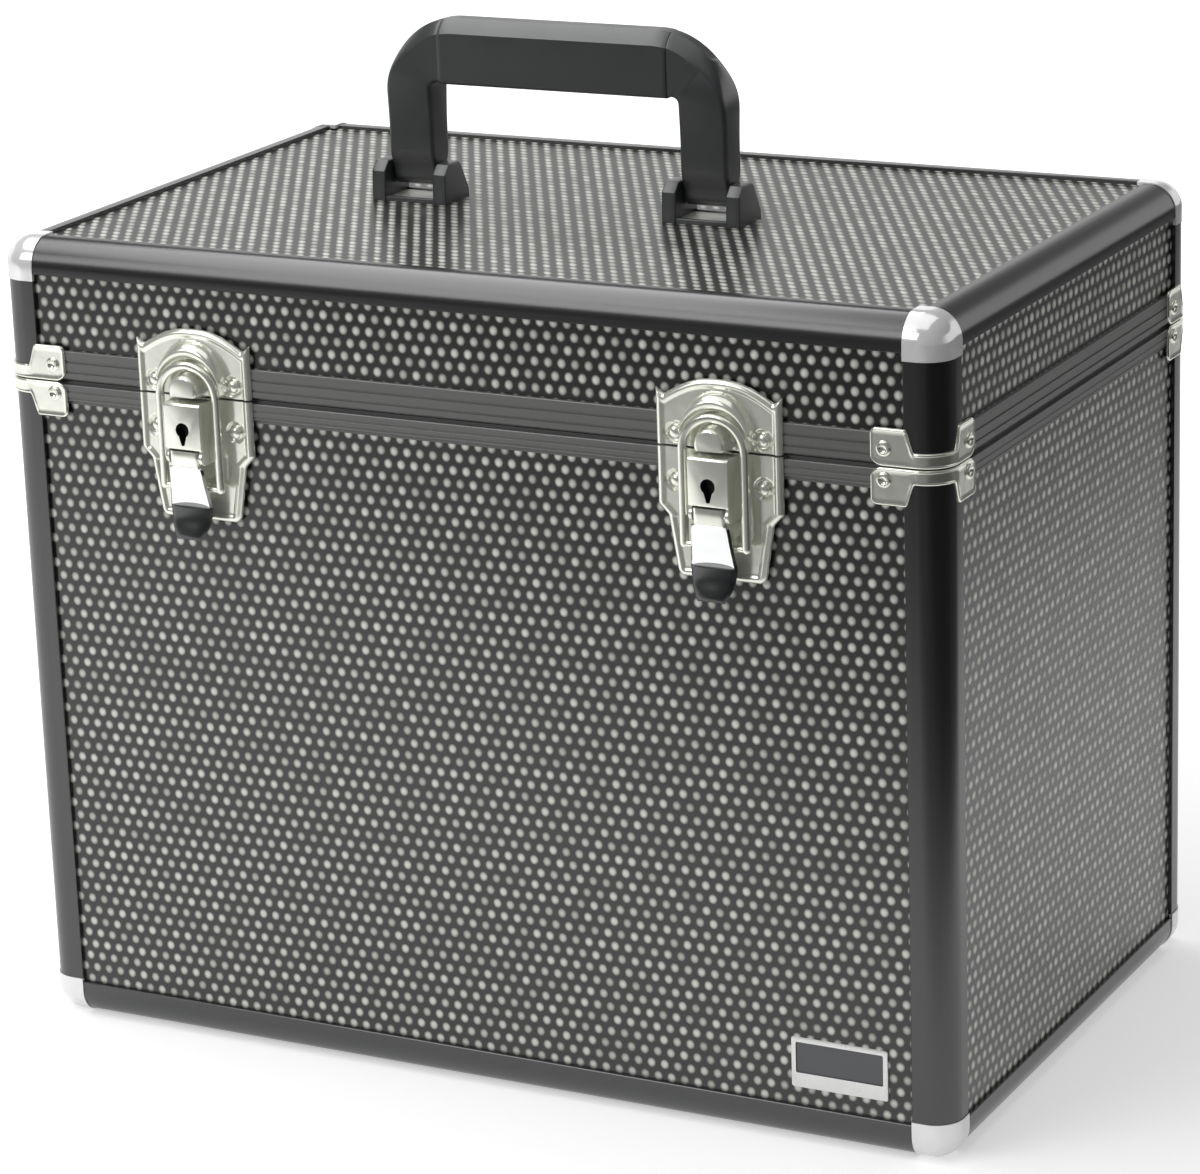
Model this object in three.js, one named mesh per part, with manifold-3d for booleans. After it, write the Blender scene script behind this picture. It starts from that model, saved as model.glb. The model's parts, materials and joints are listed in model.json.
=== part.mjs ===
// Vanity case: a panelled box with a hinged lid, two draw latches with locks and a folding carrying handle.
// Millimetres, +Z up, front towards -Y. The origin is on the floor, under the middle of the whole object.
import * as THREE from 'three';
import Module from 'manifold-3d';
import { mergeVertices } from 'three/addons/utils/BufferGeometryUtils.js';
import { RoundedBoxGeometry } from 'three/addons/geometries/RoundedBoxGeometry.js';

const wasm = await Module();
wasm.setup();

// Case
const caseWidth = 365;
const caseDepth = 229;
const bodyHeight = 245.5;
const lidHeight = 50.5;
const overrun = 4;

// Edge extrusions and the panels that slide into them
const edgeRadius = 10;
const skin = 1.5;
const innerSkin = 1.25;
const panelThickness = 5;
const panelPlay = 0.25;
const slotPlay = 0.3;
const postLeg = 14.7;
const lidEdgeLeg = 12.2;
const floorEdgeLeg = 13.4;
const capReach = 14.7;
const plugLength = 8;
const plugPlay = 0.35;
const plugRoot = 1;

// Rims on both sides of the parting line
const bodyRimHeight = 8.25;
const lidRimHeight = 11.25;
const rimWeb = 2;
const partingGap = 0.3;
const partingGroove = 1.5;
const grooveReach = 2.25;
const lipHeight = 2.4;
const lipThickness = 2;
const ribGrooveWidth = 0.9;
const ribGrooveDepth = 0.6;
const ribGroovePlaceShares = [0.33, 0.66];

// Lining
const liningThickness = 2;
const liningPlay = 0.25;

// Waist braces at the four corners of the parting line
const braceThickness = 0.8;
const braceStripHeight = 4.7;
const braceEarHeight = 12.4;
const braceEarWidth = 12.4;
const braceFrontStart = 13.9;
const braceSideStart = 10.9;
const braceSlope = 3.4;
const braceRound = 1.6;
const braceHeelRound = 4.2;
const braceRivetInset = 5;
const braceUpperRivetRise = 6;
const braceLowerRivetRise = 4.2;
const braceRivetRadius = 2.6;
const braceRivetHeight = 0.9;
const braceRivetDimple = 1.1;

// Latches
const latchInset = 80.5;
const plateThickness = 1.2;
const plateHalfWidth = 23;
const plateGap = 0.8;
const keeperShoulder = 19.5;
const keeperCrown = 24;
const keeperHornDip = 1.2;
const keeperHornWidth = 2;
const basePlateDrop = 45;
const basePlateWaistDrop = 21.5;
const basePlateWaistHalfWidth = 19.5;
const basePlateFootHalfWidth = 16;
const basePlateWaistStep = 2;
const platePadInset = 1;
const plateRound = 2.5;
const plateRivetOffset = 16;
const keeperRivetRise = 5;
const baseRivetDrop = 12.2;
const plateRivetRadius = 2.4;
const plateRivetHeight = 1.1;
const plateRivetDimple = 1;
const hoodOuterRadius = 19.6;
const hoodCrestRadius = 17;
const hoodInnerRadius = 13.8;
const hoodHeight = 2.6;
const hoodFootRise = 8.5;
const hookFootRadius = 9.2;
const hookShoulderRadius = 8;
const hookTopRadius = 6.8;
const hookHeight = 2.7;
const hookShoulderHeight = 2.1;
const lockHalfWidth = 7.4;
const lockWall = 1.2;
const lockFront = 10.4;
const lockTopRise = 1.4;
const lockChamfer = 0.8;
const lockFrontDrop = 17;
const lockBarrelRadius = 4.6;
const lockBarrelLength = 6.6;
const lockBarrelDrop = 9.8;
const keyholeRadius = 1.8;
const keyholeSlotWidth = 1.3;
const keyholeSlotDrop = 4.4;
const keyholeDepth = 4;
const leverPivotReach = 7.9;
const leverPivotDrop = 20.3;
const lockEarRadius = 2.6;
const pivotPinRadius = 1.2;
const pivotPlay = 0.3;
const leverKnuckleRadius = 2.3;
const leverHalfWidth = 5.85;
const leverEarThickness = 1.2;
const leverSheet = 1.4;
const tabSpreadShares = [1, 1, 1.2, 1.3, 1.42, 1.47, 1.37, 1.06, 0.62];
const tabDropShares = [0, 0.1, 0.14, 0.33, 0.53, 0.63, 0.76, 0.9, 1];
const tabDipShares = [0, 0.04, 0.08, 0.42, 0.85, 1, 0.88, 0.35, -0.27];
const tabDrop = 29.7;
const tabDip = 2.6;
const leverEarHeadReach = 8.4;
const leverEarFootReach = 7.5;
const bailPivotReach = 5.5;
const bailPivotDrop = 32;
const bailEyeRadius = 2.5;
const bailInnerHalfWidth = 9.9;
const bailBar = 3;
const bailDepth = 2.6;
const bailCrownRise = 10.5;

// Carrying handle
const handleOffset = -13.75;
const bracketSpacing = 118.1;
const bracketWidth = 30.7;
const bracketDepth = 18.4;
const bracketEarThickness = 5.6;
const bracketFloor = 2;
const bracketEarTopDepth = 9.5;
const handlePivotRise = 9.2;
const bracketEarRise = 14.6;
const bracketEarRound = 3;
const bracketEarShoulder = 3;
const handlePinRadius = 2.2;
const handleLegPlay = 0.45;
const handleLegFootRadius = 5.2;
const handleRise = 58.6;
const handleGripThickness = 23.6;
const handleGripDepth = 15;
const handleLegDepth = 12.4;
const handleOuterRound = 28.5;
const handleInnerRound = 2.6;
const handleBevel = 2.4;
const handleLegFlareShares = [0.2, 0.52, 0.66];

// Continuous hinge along the back
const hingeLength = 250;
const hingeKnuckles = 5;
const hingeKnuckleRadius = 3;
const hingePinRadius = 1.25;
const hingeBoreRadius = 1.6;
const hingeKnuckleGap = 0.4;
const hingeLeafThickness = 1.2;
const hingeBodyLeafDrop = 12;
const hingeLidLeafRise = 12;
const hingeRivetCount = 6;
const hingeRivetInset = 14;
const hingeRivetRadius = 2.2;
const hingeRivetHeight = 0.8;
const hingeRivetDimple = 0.9;

// Fineness of round stretches
const cornerSteps = 4;
const roundSteps = 12;
const smallSteps = 8;
const capSteps = 3;

// Places worked out from the sizes above
const partingHeight = bodyHeight;
const caseHeight = bodyHeight + lidHeight;
const halfWidth = caseWidth / 2;
const halfDepth = caseDepth / 2;
const panelBack = skin + panelThickness;
const legFront = panelBack + panelPlay;
const legBack = legFront + innerSkin;
const slotEnd = edgeRadius - slotPlay;
const bodyRimBottom = partingHeight - bodyRimHeight;
const lidRimTop = partingHeight + lidRimHeight;
const bodyRimTop = partingHeight - partingGap / 2;
const lidRimBottom = partingHeight + partingGap / 2;
const lidLipRoof = bodyRimTop + lipHeight + partingGap;
const bodySlotRoof = bodyRimTop - rimWeb;
const lidSlotFloor = lidLipRoof + rimWeb;
const lidPanelTop = caseHeight - skin;
const lipTop = bodyRimTop + lipHeight;
const bailCentreRise = bailCrownRise - bailInnerHalfWidth;
const lockStep = plateThickness + hookHeight + slotPlay;
const hingeAxisOut = hingeKnuckleRadius + slotPlay;
const frontReach = leverPivotReach + leverKnuckleRadius + leverSheet / 2;
const backReach = hingeAxisOut + hingeKnuckleRadius;

const quarter = Math.PI / 2;

// Colours of the finishes
const blackAnodised = new THREE.MeshStandardMaterial({ color: 0x26282a, roughness: 0.35, metalness: 0.8 });
const greyRim = new THREE.MeshStandardMaterial({ color: 0x4a4b4d, roughness: 0.4, metalness: 0.8 });
const laminate = new THREE.MeshStandardMaterial({ color: 0x5b5c58, roughness: 0.5, metalness: 0.3 });
const chrome = new THREE.MeshStandardMaterial({ color: 0xd8d8d4, roughness: 0.12, metalness: 1 });
const blackPlastic = new THREE.MeshStandardMaterial({ color: 0x2e3031, roughness: 0.45, metalness: 0 });
const liningFabric = new THREE.MeshStandardMaterial({ color: 0x1c1c1e, roughness: 0.95, metalness: 0 });

// A closed mesh as a solid that can be joined and cut.
function solid(geometry) {
  const bare = geometry.clone();
  bare.deleteAttribute('normal');
  bare.deleteAttribute('uv');
  const merged = mergeVertices(bare);
  return new wasm.Manifold(new wasm.Mesh({
    numProp: 3,
    vertProperties: new Float32Array(merged.attributes.position.array),
    triVerts: new Uint32Array(merged.index.array),
  }));
}

function geometryOf(body) {
  const mesh = body.getMesh();
  const geometry = new THREE.BufferGeometry();
  geometry.setAttribute('position', new THREE.BufferAttribute(new Float32Array(mesh.vertProperties), 3));
  geometry.setIndex(new THREE.BufferAttribute(new Uint32Array(mesh.triVerts), 1));
  return geometry;
}

function join(...geometries) {
  return geometryOf(geometries.map(solid).reduce((whole, next) => whole.add(next)));
}

function cut(geometry, ...cutters) {
  return geometryOf(cutters.map(solid).reduce((whole, next) => whole.subtract(next), solid(geometry)));
}

function common(first, second) {
  return geometryOf(solid(first).intersect(solid(second)));
}

// A box given by its lowest and highest corners.
function block(low, high) {
  const size = high.map((value, axis) => value - low[axis]);
  const box = new THREE.BoxGeometry(...size);
  return box.translate(...low.map((value, axis) => value + size[axis] / 2));
}

// Exact quarter turns about Z keep flat faces true to each other.
function turned(geometry, turns) {
  const [c, s] = [[1, 0], [0, 1], [-1, 0], [0, -1]][((turns % 4) + 4) % 4];
  return geometry.applyMatrix4(new THREE.Matrix4().set(c, -s, 0, 0, s, c, 0, 0, 0, 0, 1, 0, 0, 0, 0, 1));
}

// Half a turn about X.
function flipped(geometry) {
  return geometry.applyMatrix4(new THREE.Matrix4().makeScale(1, -1, -1));
}

// Turns x, y, z into y, z, x: an extrusion along Z comes to lie along X.
function cycled(geometry) {
  return geometry.applyMatrix4(new THREE.Matrix4().set(0, 0, 1, 0, 1, 0, 0, 0, 0, 1, 0, 0, 0, 0, 0, 1));
}

function extruded(shape, depth, curveSegments = cornerSteps) {
  return new THREE.ExtrudeGeometry(shape, { depth, bevelEnabled: false, curveSegments });
}

// Shape from points [x, y] or [x, y, radius], where a radius rounds that corner.
function roundedShape(points) {
  const shape = new THREE.Shape();
  points.forEach(([x, y, radius = 0], index) => {
    const corner = new THREE.Vector2(x, y);
    const before = new THREE.Vector2(...points[(index + points.length - 1) % points.length]);
    const after = new THREE.Vector2(...points[(index + 1) % points.length]);
    const start = before.sub(corner).setLength(radius).add(corner);
    const end = after.sub(corner).setLength(radius).add(corner);
    if (index === 0) shape.moveTo(start.x, start.y);
    else shape.lineTo(start.x, start.y);
    if (radius > 0) shape.quadraticCurveTo(x, y, end.x, end.y);
  });
  shape.closePath();
  return shape;
}

// A flat outline in x and z, raised from the front plane towards -Y between two reaches.
function plate(shape, fromReach, toReach, curveSegments = cornerSteps) {
  const geometry = extruded(shape, toReach - fromReach, curveSegments);
  const upright = new THREE.Matrix4().set(1, 0, 0, 0, 0, 0, -1, -fromReach, 0, 1, 0, 0, 0, 0, 0, 1);
  return geometry.applyMatrix4(upright);
}

// An outline in reach (towards -Y) and z, spread along X between two places.
function cheek(shape, fromX, toX, curveSegments = cornerSteps) {
  const geometry = extruded(shape, toX - fromX, curveSegments);
  return geometry.applyMatrix4(new THREE.Matrix4().set(0, 0, -1, toX, -1, 0, 0, 0, 0, 1, 0, 0, 0, 0, 0, 1));
}

function pinAlongX(radius, fromX, toX, reach, z, steps = smallSteps) {
  const pin = new THREE.CylinderGeometry(radius, radius, toX - fromX, steps).rotateZ(quarter);
  return pin.translate((fromX + toX) / 2, -reach, z);
}

// A round form on an axis towards -Y, from a profile of [radius, reach] points.
function roundTowardsFront(profile, x, z, steps) {
  const points = profile.map(([radius, reach]) => new THREE.Vector2(radius, reach));
  return flipped(new THREE.LatheGeometry(points, steps)).translate(x, 0, z);
}

// A low rivet head whose foot is sunk in its plate, with a dimple where it was set.
function rivetHead(radius, height, dimple, x, reach, z) {
  const foot = reach - plateThickness / 2;
  return roundTowardsFront([
    [0, foot], [radius, foot], [(radius + dimple) / 2, reach + height], [dimple, reach + height],
    [0, reach + height / 3],
  ], x, z, smallSteps);
}

// A closed form through rings of equally many points, with flat ends.
function loft(rings) {
  const count = rings[0].length;
  const last = rings.length - 1;
  const index = [];
  for (let ring = 0; ring < last; ring += 1) {
    for (let point = 0; point < count; point += 1) {
      const next = (point + 1) % count;
      const [a, b] = [ring * count + point, ring * count + next];
      index.push(a, b + count, b, a, a + count, b + count);
    }
  }
  for (let point = 1; point < count - 1; point += 1) {
    index.push(0, point, point + 1, last * count, last * count + point + 1, last * count + point);
  }
  const geometry = new THREE.BufferGeometry();
  geometry.setAttribute('position', new THREE.Float32BufferAttribute(rings.flat(2), 3));
  geometry.setIndex(index);
  return geometry;
}

const vanityCase = new THREE.Group();
const body = new THREE.Group();
const lid = new THREE.Group();

function add(group, name, geometry, material) {
  const mesh = new THREE.Mesh(geometry, material);
  mesh.name = name;
  group.add(mesh);
  return mesh;
}

// The hollow of an edge's core, or with some play the plug of a corner cap that enters it.
function coreOutline(play) {
  const corner = panelBack - play;
  const radius = edgeRadius - skin - play;
  const swing = Math.asin((edgeRadius - corner) / radius);
  const outline = new THREE.Path();
  outline.moveTo(corner, corner);
  outline.lineTo(corner, edgeRadius - radius * Math.cos(swing));
  outline.absarc(edgeRadius, edgeRadius, radius, 3 * quarter - swing, Math.PI + swing, true);
  outline.closePath();
  return outline;
}

// Rounded edge extrusion: an outer skin, two slots for the panels, inner legs and a hollow core.
function edgeSection(leg) {
  const shape = new THREE.Shape();
  shape.moveTo(leg, 0);
  [[leg, skin], [slotEnd, skin], [slotEnd, legFront], [leg, legFront], [leg, legBack], [legBack, legBack],
    [legBack, leg], [legFront, leg], [legFront, slotEnd], [skin, slotEnd], [skin, leg], [0, leg],
    [0, edgeRadius]]
    .forEach(([u, v]) => shape.lineTo(u, v));
  shape.absarc(edgeRadius, edgeRadius, edgeRadius, Math.PI, 3 * quarter, false);
  shape.closePath();
  shape.holes.push(coreOutline(0));
  return shape;
}

// Names and places of the four sides and corners. A piece is made for the front or the front left
// corner and comes to its place by quarter turns.
const sideNames = ['front', 'right', 'back', 'left'];
const cornerNames = ['front_left', 'front_right', 'back_right', 'back_left'];
const cornerSigns = [[-1, -1], [1, -1], [1, 1], [-1, 1]];

function sideSpan(turns) {
  return turns % 2 === 0 ? [caseWidth, halfDepth] : [caseDepth, halfWidth];
}

function toCorner(geometry, index, z) {
  const [sx, sy] = cornerSigns[index];
  return geometry.translate(sx * halfWidth, sy * halfDepth, z);
}

function addWalls(group, prefix, low, high) {
  sideNames.forEach((side, turns) => {
    const [length, distance] = sideSpan(turns);
    const half = length / 2 - edgeRadius;
    const wall = block([-half, skin - distance, low], [half, panelBack - distance, high]);
    add(group, `${prefix}_${side}_panel`, turned(wall, turns), laminate);
  });
}

function addFlatPanel(group, name, low) {
  const [x, y] = [halfWidth - edgeRadius, halfDepth - edgeRadius];
  add(group, name, block([-x, -y, low], [x, y, low + panelThickness]), laminate);
}

function addPosts(group, prefix, low, high) {
  cornerNames.forEach((corner, index) => {
    const post = turned(extruded(edgeSection(postLeg), high - low), index);
    add(group, `${prefix}_post_${corner}`, toCorner(post, index, low), blackAnodised);
  });
}

function edgeRun(leg, length) {
  return cycled(extruded(edgeSection(leg), length)).translate(-length / 2, 0, 0);
}

function addFloorEdges() {
  sideNames.forEach((side, turns) => {
    const [length, distance] = sideSpan(turns);
    const run = edgeRun(floorEdgeLeg, length - 2 * capReach).translate(0, -distance, 0);
    add(body, `floor_edge_${side}`, turned(run, turns), blackAnodised);
  });
}

function addLidEdges() {
  sideNames.forEach((side, turns) => {
    const [length, distance] = sideSpan(turns);
    const run = flipped(edgeRun(lidEdgeLeg, length - 2 * capReach)).translate(0, distance, caseHeight);
    add(lid, `lid_edge_${side}`, turned(run, turns + 2), blackAnodised);
  });
}

// Three-way corner cap: a ball-nosed shell with slots for three panels and a plug into each edge.
function cornerCap() {
  const span = 2 * (capReach + edgeRadius);
  const ball = new RoundedBoxGeometry(span, span, span, capSteps, edgeRadius);
  ball.translate(span / 2, span / 2, span / 2);
  const nose = common(ball, block([-overrun, -overrun, -overrun], [capReach, capReach, capReach]));
  const slot = block([slotEnd, skin, slotEnd], [span, legFront, span]);
  const inside = block([legBack, legBack, legBack], [span, span, span]);
  const shell = cut(nose, slot, cycled(slot.clone()), cycled(cycled(slot.clone())), inside);
  const plugShape = new THREE.Shape(coreOutline(plugPlay).getPoints(capSteps));
  const plug = extruded(plugShape, plugLength + plugRoot).translate(0, 0, capReach - plugRoot);
  return join(shell, plug, cycled(plug.clone()), cycled(cycled(plug.clone())));
}

function addCaps() {
  cornerNames.forEach((corner, index) => {
    add(body, `floor_cap_${corner}`, toCorner(turned(cornerCap(), index), index, 0), chrome);
    const upper = turned(flipped(cornerCap()), index + 1);
    add(lid, `lid_cap_${corner}`, toCorner(upper, index, caseHeight), chrome);
  });
}

// A closed frame swept round the case from a section of [inset, height] points.
function rimFrame(section) {
  const count = section.length;
  const positions = [];
  cornerSigns.forEach(([sx, sy], corner) => {
    for (let step = 0; step <= cornerSteps; step += 1) {
      const angle = (corner + 2 + step / cornerSteps) * quarter;
      section.forEach(([inset, height]) => positions.push(
        sx * (halfWidth - edgeRadius) + (edgeRadius - inset) * Math.cos(angle),
        sy * (halfDepth - edgeRadius) + (edgeRadius - inset) * Math.sin(angle),
        height,
      ));
    }
  });
  const total = positions.length / 3;
  const index = [];
  for (let first = 0; first < total; first += count) {
    for (let point = 0; point < count; point += 1) {
      const after = (point + 1) % count;
      const [a, b] = [first + point, (first + count + point) % total];
      const [c, d] = [(first + count + after) % total, first + after];
      index.push(a, b, c, a, c, d);
    }
  }
  const geometry = new THREE.BufferGeometry();
  geometry.setAttribute('position', new THREE.Float32BufferAttribute(positions, 3));
  geometry.setIndex(index);
  return geometry;
}

// The body's rim holds the panels from above and carries a lip that the lid closes over.
function bodyRim() {
  const lipFront = legBack - lipThickness;
  const shoulder = partingHeight - partingGroove / 2;
  return rimFrame([
    [0, bodyRimBottom], [0, shoulder], [grooveReach, shoulder], [grooveReach, bodyRimTop],
    [lipFront, bodyRimTop], [lipFront, lipTop], [legBack, lipTop], [legBack, bodyRimBottom],
    [legFront, bodyRimBottom], [legFront, bodySlotRoof], [skin, bodySlotRoof], [skin, bodyRimBottom],
  ]);
}

// The lid's rim has two narrow grooves along its face.
function lidRim() {
  const lipSpace = legBack - lipThickness - slotPlay;
  const shoulder = partingHeight + partingGroove / 2;
  const ribs = ribGroovePlaceShares.flatMap((share) => {
    const low = partingHeight + share * lidRimHeight - ribGrooveWidth / 2;
    const high = low + ribGrooveWidth;
    return [[0, low], [ribGrooveDepth, low], [ribGrooveDepth, high], [0, high]];
  });
  return rimFrame([
    [skin, lidRimTop], [skin, lidSlotFloor], [legFront, lidSlotFloor], [legFront, lidRimTop],
    [legBack, lidRimTop], [legBack, lidLipRoof], [lipSpace, lidLipRoof], [lipSpace, lidRimBottom],
    [grooveReach, lidRimBottom], [grooveReach, shoulder], [0, shoulder], ...ribs, [0, lidRimTop],
  ]);
}

// Lining tray from its floor to its rim. The lid's is upside down.
function liningTray(floor, rim) {
  const inset = legBack + liningPlay;
  const up = Math.sign(rim - floor);
  const inner = [floor + up * liningThickness, rim + up * overrun];
  const [x, y] = [halfWidth - inset, halfDepth - inset];
  return cut(
    block([-x, -y, Math.min(floor, rim)], [x, y, Math.max(floor, rim)]),
    block([liningThickness - x, liningThickness - y, Math.min(...inner)],
      [x - liningThickness, y - liningThickness, Math.max(...inner)]),
  );
}

// A brace's ear on the front face, its heel away from the corner at x = 0.
function braceEar(start, side, rivetRise) {
  const outline = [
    [start - braceSlope, 0], [start + braceEarWidth, 0, braceHeelRound],
    [start + braceEarWidth, braceEarHeight, braceRound], [start, braceEarHeight, braceRound],
    [start - braceSlope, braceStripHeight],
  ].map(([x, z, radius]) => [side * x, z, radius]);
  const rivetX = side * (start + braceEarWidth - braceRivetInset);
  return join(
    plate(roundedShape(outline), 0, braceThickness, capSteps),
    rivetHead(braceRivetRadius, braceRivetHeight, braceRivetDimple, rivetX, braceThickness, rivetRise),
  );
}

// Waist brace: a strip round the post with a riveted ear on each face, growing up from the parting line.
function waistBrace(alongX, alongY, rivetRise) {
  const outer = edgeRadius + braceThickness;
  const strip = new THREE.Shape();
  strip.moveTo(alongX + braceSlope, -braceThickness);
  strip.lineTo(alongX + braceSlope, 0);
  strip.lineTo(edgeRadius, 0);
  strip.absarc(edgeRadius, edgeRadius, edgeRadius, 3 * quarter, Math.PI, true);
  strip.lineTo(0, alongY + braceSlope);
  strip.lineTo(-braceThickness, alongY + braceSlope);
  strip.lineTo(-braceThickness, edgeRadius);
  strip.absarc(edgeRadius, edgeRadius, outer, Math.PI, 3 * quarter, false);
  strip.closePath();
  return join(
    extruded(strip, braceStripHeight),
    braceEar(alongX, 1, rivetRise),
    turned(braceEar(alongY, -1, rivetRise), 3),
  );
}

function addBraces() {
  const starts = [[braceFrontStart, braceSideStart], [braceSideStart, braceFrontStart]];
  const gap = partingGroove / 2;
  cornerNames.forEach((corner, index) => {
    const upper = turned(waistBrace(...starts[index % 2], braceUpperRivetRise), index);
    add(lid, `lid_brace_${corner}`, toCorner(upper, index, partingHeight + gap), chrome);
    const lower = turned(flipped(waistBrace(...starts[(index + 1) % 2], braceLowerRivetRise)), index + 1);
    add(body, `body_brace_${corner}`, toCorner(lower, index, partingHeight - gap), chrome);
  });
}

// Latch pieces are made round x = 0 on the front plane, with z = 0 on the parting line.
function addLatchPiece(group, name, geometry, x) {
  add(group, name, geometry, chrome).position.set(x, -halfDepth, partingHeight);
}

function plateRivets(z) {
  const [radius, height, dimple] = [plateRivetRadius, plateRivetHeight, plateRivetDimple];
  const places = [-plateRivetOffset, plateRivetOffset];
  return places.map((x) => rivetHead(radius, height, dimple, x, plateThickness, z));
}

// A raised round form on a latch plate, cut off level at its lower side.
function pressedRound(profile, lowest) {
  return common(
    roundTowardsFront(profile, 0, bailCentreRise, 2 * roundSteps),
    block([-plateHalfWidth, -lockFront, lowest], [plateHalfWidth, 0, keeperCrown]),
  );
}

// Keeper on the lid: an arched plate with a horn at each shoulder, a pressed hood, a round hook and rivets.
function keeper() {
  const foot = plateGap / 2;
  const root = plateThickness / 2;
  const outline = new THREE.Shape();
  const arch = plateHalfWidth - keeperHornWidth;
  const dip = keeperShoulder - keeperHornDip;
  outline.moveTo(-plateHalfWidth, foot);
  outline.lineTo(plateHalfWidth, foot);
  outline.lineTo(plateHalfWidth, keeperShoulder);
  outline.lineTo(arch, dip);
  outline.bezierCurveTo(arch / 2, keeperCrown, arch / 4, keeperCrown, 0, keeperCrown);
  outline.bezierCurveTo(-arch / 4, keeperCrown, -arch / 2, keeperCrown, -arch, dip);
  outline.lineTo(-plateHalfWidth, keeperShoulder);
  outline.closePath();
  const padHalf = plateHalfWidth - platePadInset;
  const pad = block([-padHalf, 0, lidRimHeight + slotPlay], [padHalf, skin, dip]);
  const hood = pressedRound([
    [hoodInnerRadius, root], [hoodOuterRadius, root], [hoodOuterRadius, plateThickness],
    [hoodCrestRadius, plateThickness + hoodHeight], [hoodInnerRadius, plateThickness],
    [hoodInnerRadius, root],
  ], hoodFootRise);
  const hook = pressedRound([
    [0, root], [hookFootRadius, root], [hookFootRadius, plateThickness],
    [hookShoulderRadius, plateThickness + hookShoulderHeight], [hookTopRadius, plateThickness + hookHeight],
    [0, plateThickness + hookHeight],
  ], foot);
  return join(plate(outline, 0, plateThickness), pad, hood, hook, ...plateRivets(keeperRivetRise));
}

function basePlateShape(inset, top) {
  const waistFoot = basePlateWaistDrop + basePlateWaistStep;
  const [head, waist] = [plateHalfWidth - inset, basePlateWaistHalfWidth - inset];
  const [foot, low] = [basePlateFootHalfWidth - inset, inset - basePlateDrop];
  return roundedShape([
    [-head, -top], [-head, -basePlateWaistDrop], [-waist, -waistFoot], [-foot, low, plateRound],
    [foot, low, plateRound], [waist, -waistFoot], [head, -basePlateWaistDrop], [head, -top],
  ]);
}

// Lock case from the side: it steps forward past the keeper's hook and ends in the lever's ears.
function lockSideShape() {
  const shape = new THREE.Shape();
  const earStart = Math.PI / 5;
  shape.moveTo(0, -plateGap);
  shape.lineTo(lockStep, -plateGap);
  shape.lineTo(lockStep, lockTopRise - lockChamfer);
  shape.lineTo(lockStep + lockChamfer, lockTopRise);
  shape.lineTo(lockFront - lockChamfer, lockTopRise);
  shape.lineTo(lockFront, lockTopRise - lockChamfer);
  shape.lineTo(lockFront, lockChamfer - lockFrontDrop);
  shape.lineTo(lockFront - lockChamfer, -lockFrontDrop);
  shape.absarc(leverPivotReach, -leverPivotDrop, lockEarRadius, earStart, -quarter, true);
  shape.lineTo(0, -leverPivotDrop - lockEarRadius);
  shape.closePath();
  return shape;
}

function lockPocketShape() {
  const roof = -plateGap - lockWall;
  const foot = -leverPivotDrop - lockEarRadius - overrun;
  const [inner, outer] = [lockFront - lockWall, lockFront + overrun];
  return roundedShape([
    [plateThickness, foot], [plateThickness, roof], [inner, roof], [inner, -lockFrontDrop],
    [outer, -lockFrontDrop], [outer, foot],
  ]);
}

// Latch base on the body: a tapered plate, the lock case with its barrel and keyhole, and the lever's pin.
function latchBase() {
  const inner = lockHalfWidth - lockWall;
  const barrelFront = lockFront - lockWall / 2;
  const shell = cut(
    join(
      plate(basePlateShape(0, plateGap / 2), 0, plateThickness),
      plate(basePlateShape(platePadInset, bodyRimHeight + slotPlay), -skin, 0),
      cheek(lockSideShape(), -lockHalfWidth, lockHalfWidth),
    ),
    cheek(lockPocketShape(), -inner, inner),
  );
  const barrel = roundTowardsFront([
    [0, barrelFront - lockBarrelLength], [lockBarrelRadius, barrelFront - lockBarrelLength],
    [lockBarrelRadius, barrelFront], [0, barrelFront],
  ], 0, -lockBarrelDrop, roundSteps);
  const keyhole = roundTowardsFront([
    [0, lockFront - keyholeDepth], [keyholeRadius, lockFront - keyholeDepth],
    [keyholeRadius, lockFront + overrun], [0, lockFront + overrun],
  ], 0, -lockBarrelDrop, roundSteps);
  const keySlot = block(
    [-keyholeSlotWidth / 2, -lockFront - overrun, -lockBarrelDrop - keyholeSlotDrop],
    [keyholeSlotWidth / 2, keyholeDepth - lockFront, -lockBarrelDrop],
  );
  const pinEnd = lockHalfWidth - lockWall / 2;
  const pin = pinAlongX(pivotPinRadius, -pinEnd, pinEnd, leverPivotReach, -leverPivotDrop);
  return join(cut(join(shell, barrel), keyhole, keySlot), pin, ...plateRivets(-baseRivetDrop));
}

// Thumb tab: a sheet that spreads and leans in as it goes down, then narrows and curls out at its tip.
function thumbTab() {
  const half = leverSheet / 2;
  const places = tabDropShares.map((share, station) => [
    leverPivotReach + leverKnuckleRadius - half - tabDipShares[station] * tabDip,
    -leverPivotDrop - share * tabDrop,
    tabSpreadShares[station] * leverHalfWidth,
  ]);
  return loft(places.map(([reach, z, spread], station) => {
    const before = places[Math.max(station - 1, 0)];
    const after = places[Math.min(station + 1, places.length - 1)];
    const along = new THREE.Vector2(after[0] - before[0], after[1] - before[1]).normalize();
    const [outReach, outZ] = [-along.y * half, along.x * half];
    return [
      [-spread, -reach - outReach, z + outZ], [spread, -reach - outReach, z + outZ],
      [spread, -reach + outReach, z - outZ], [-spread, -reach + outReach, z - outZ],
    ];
  }));
}

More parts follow.
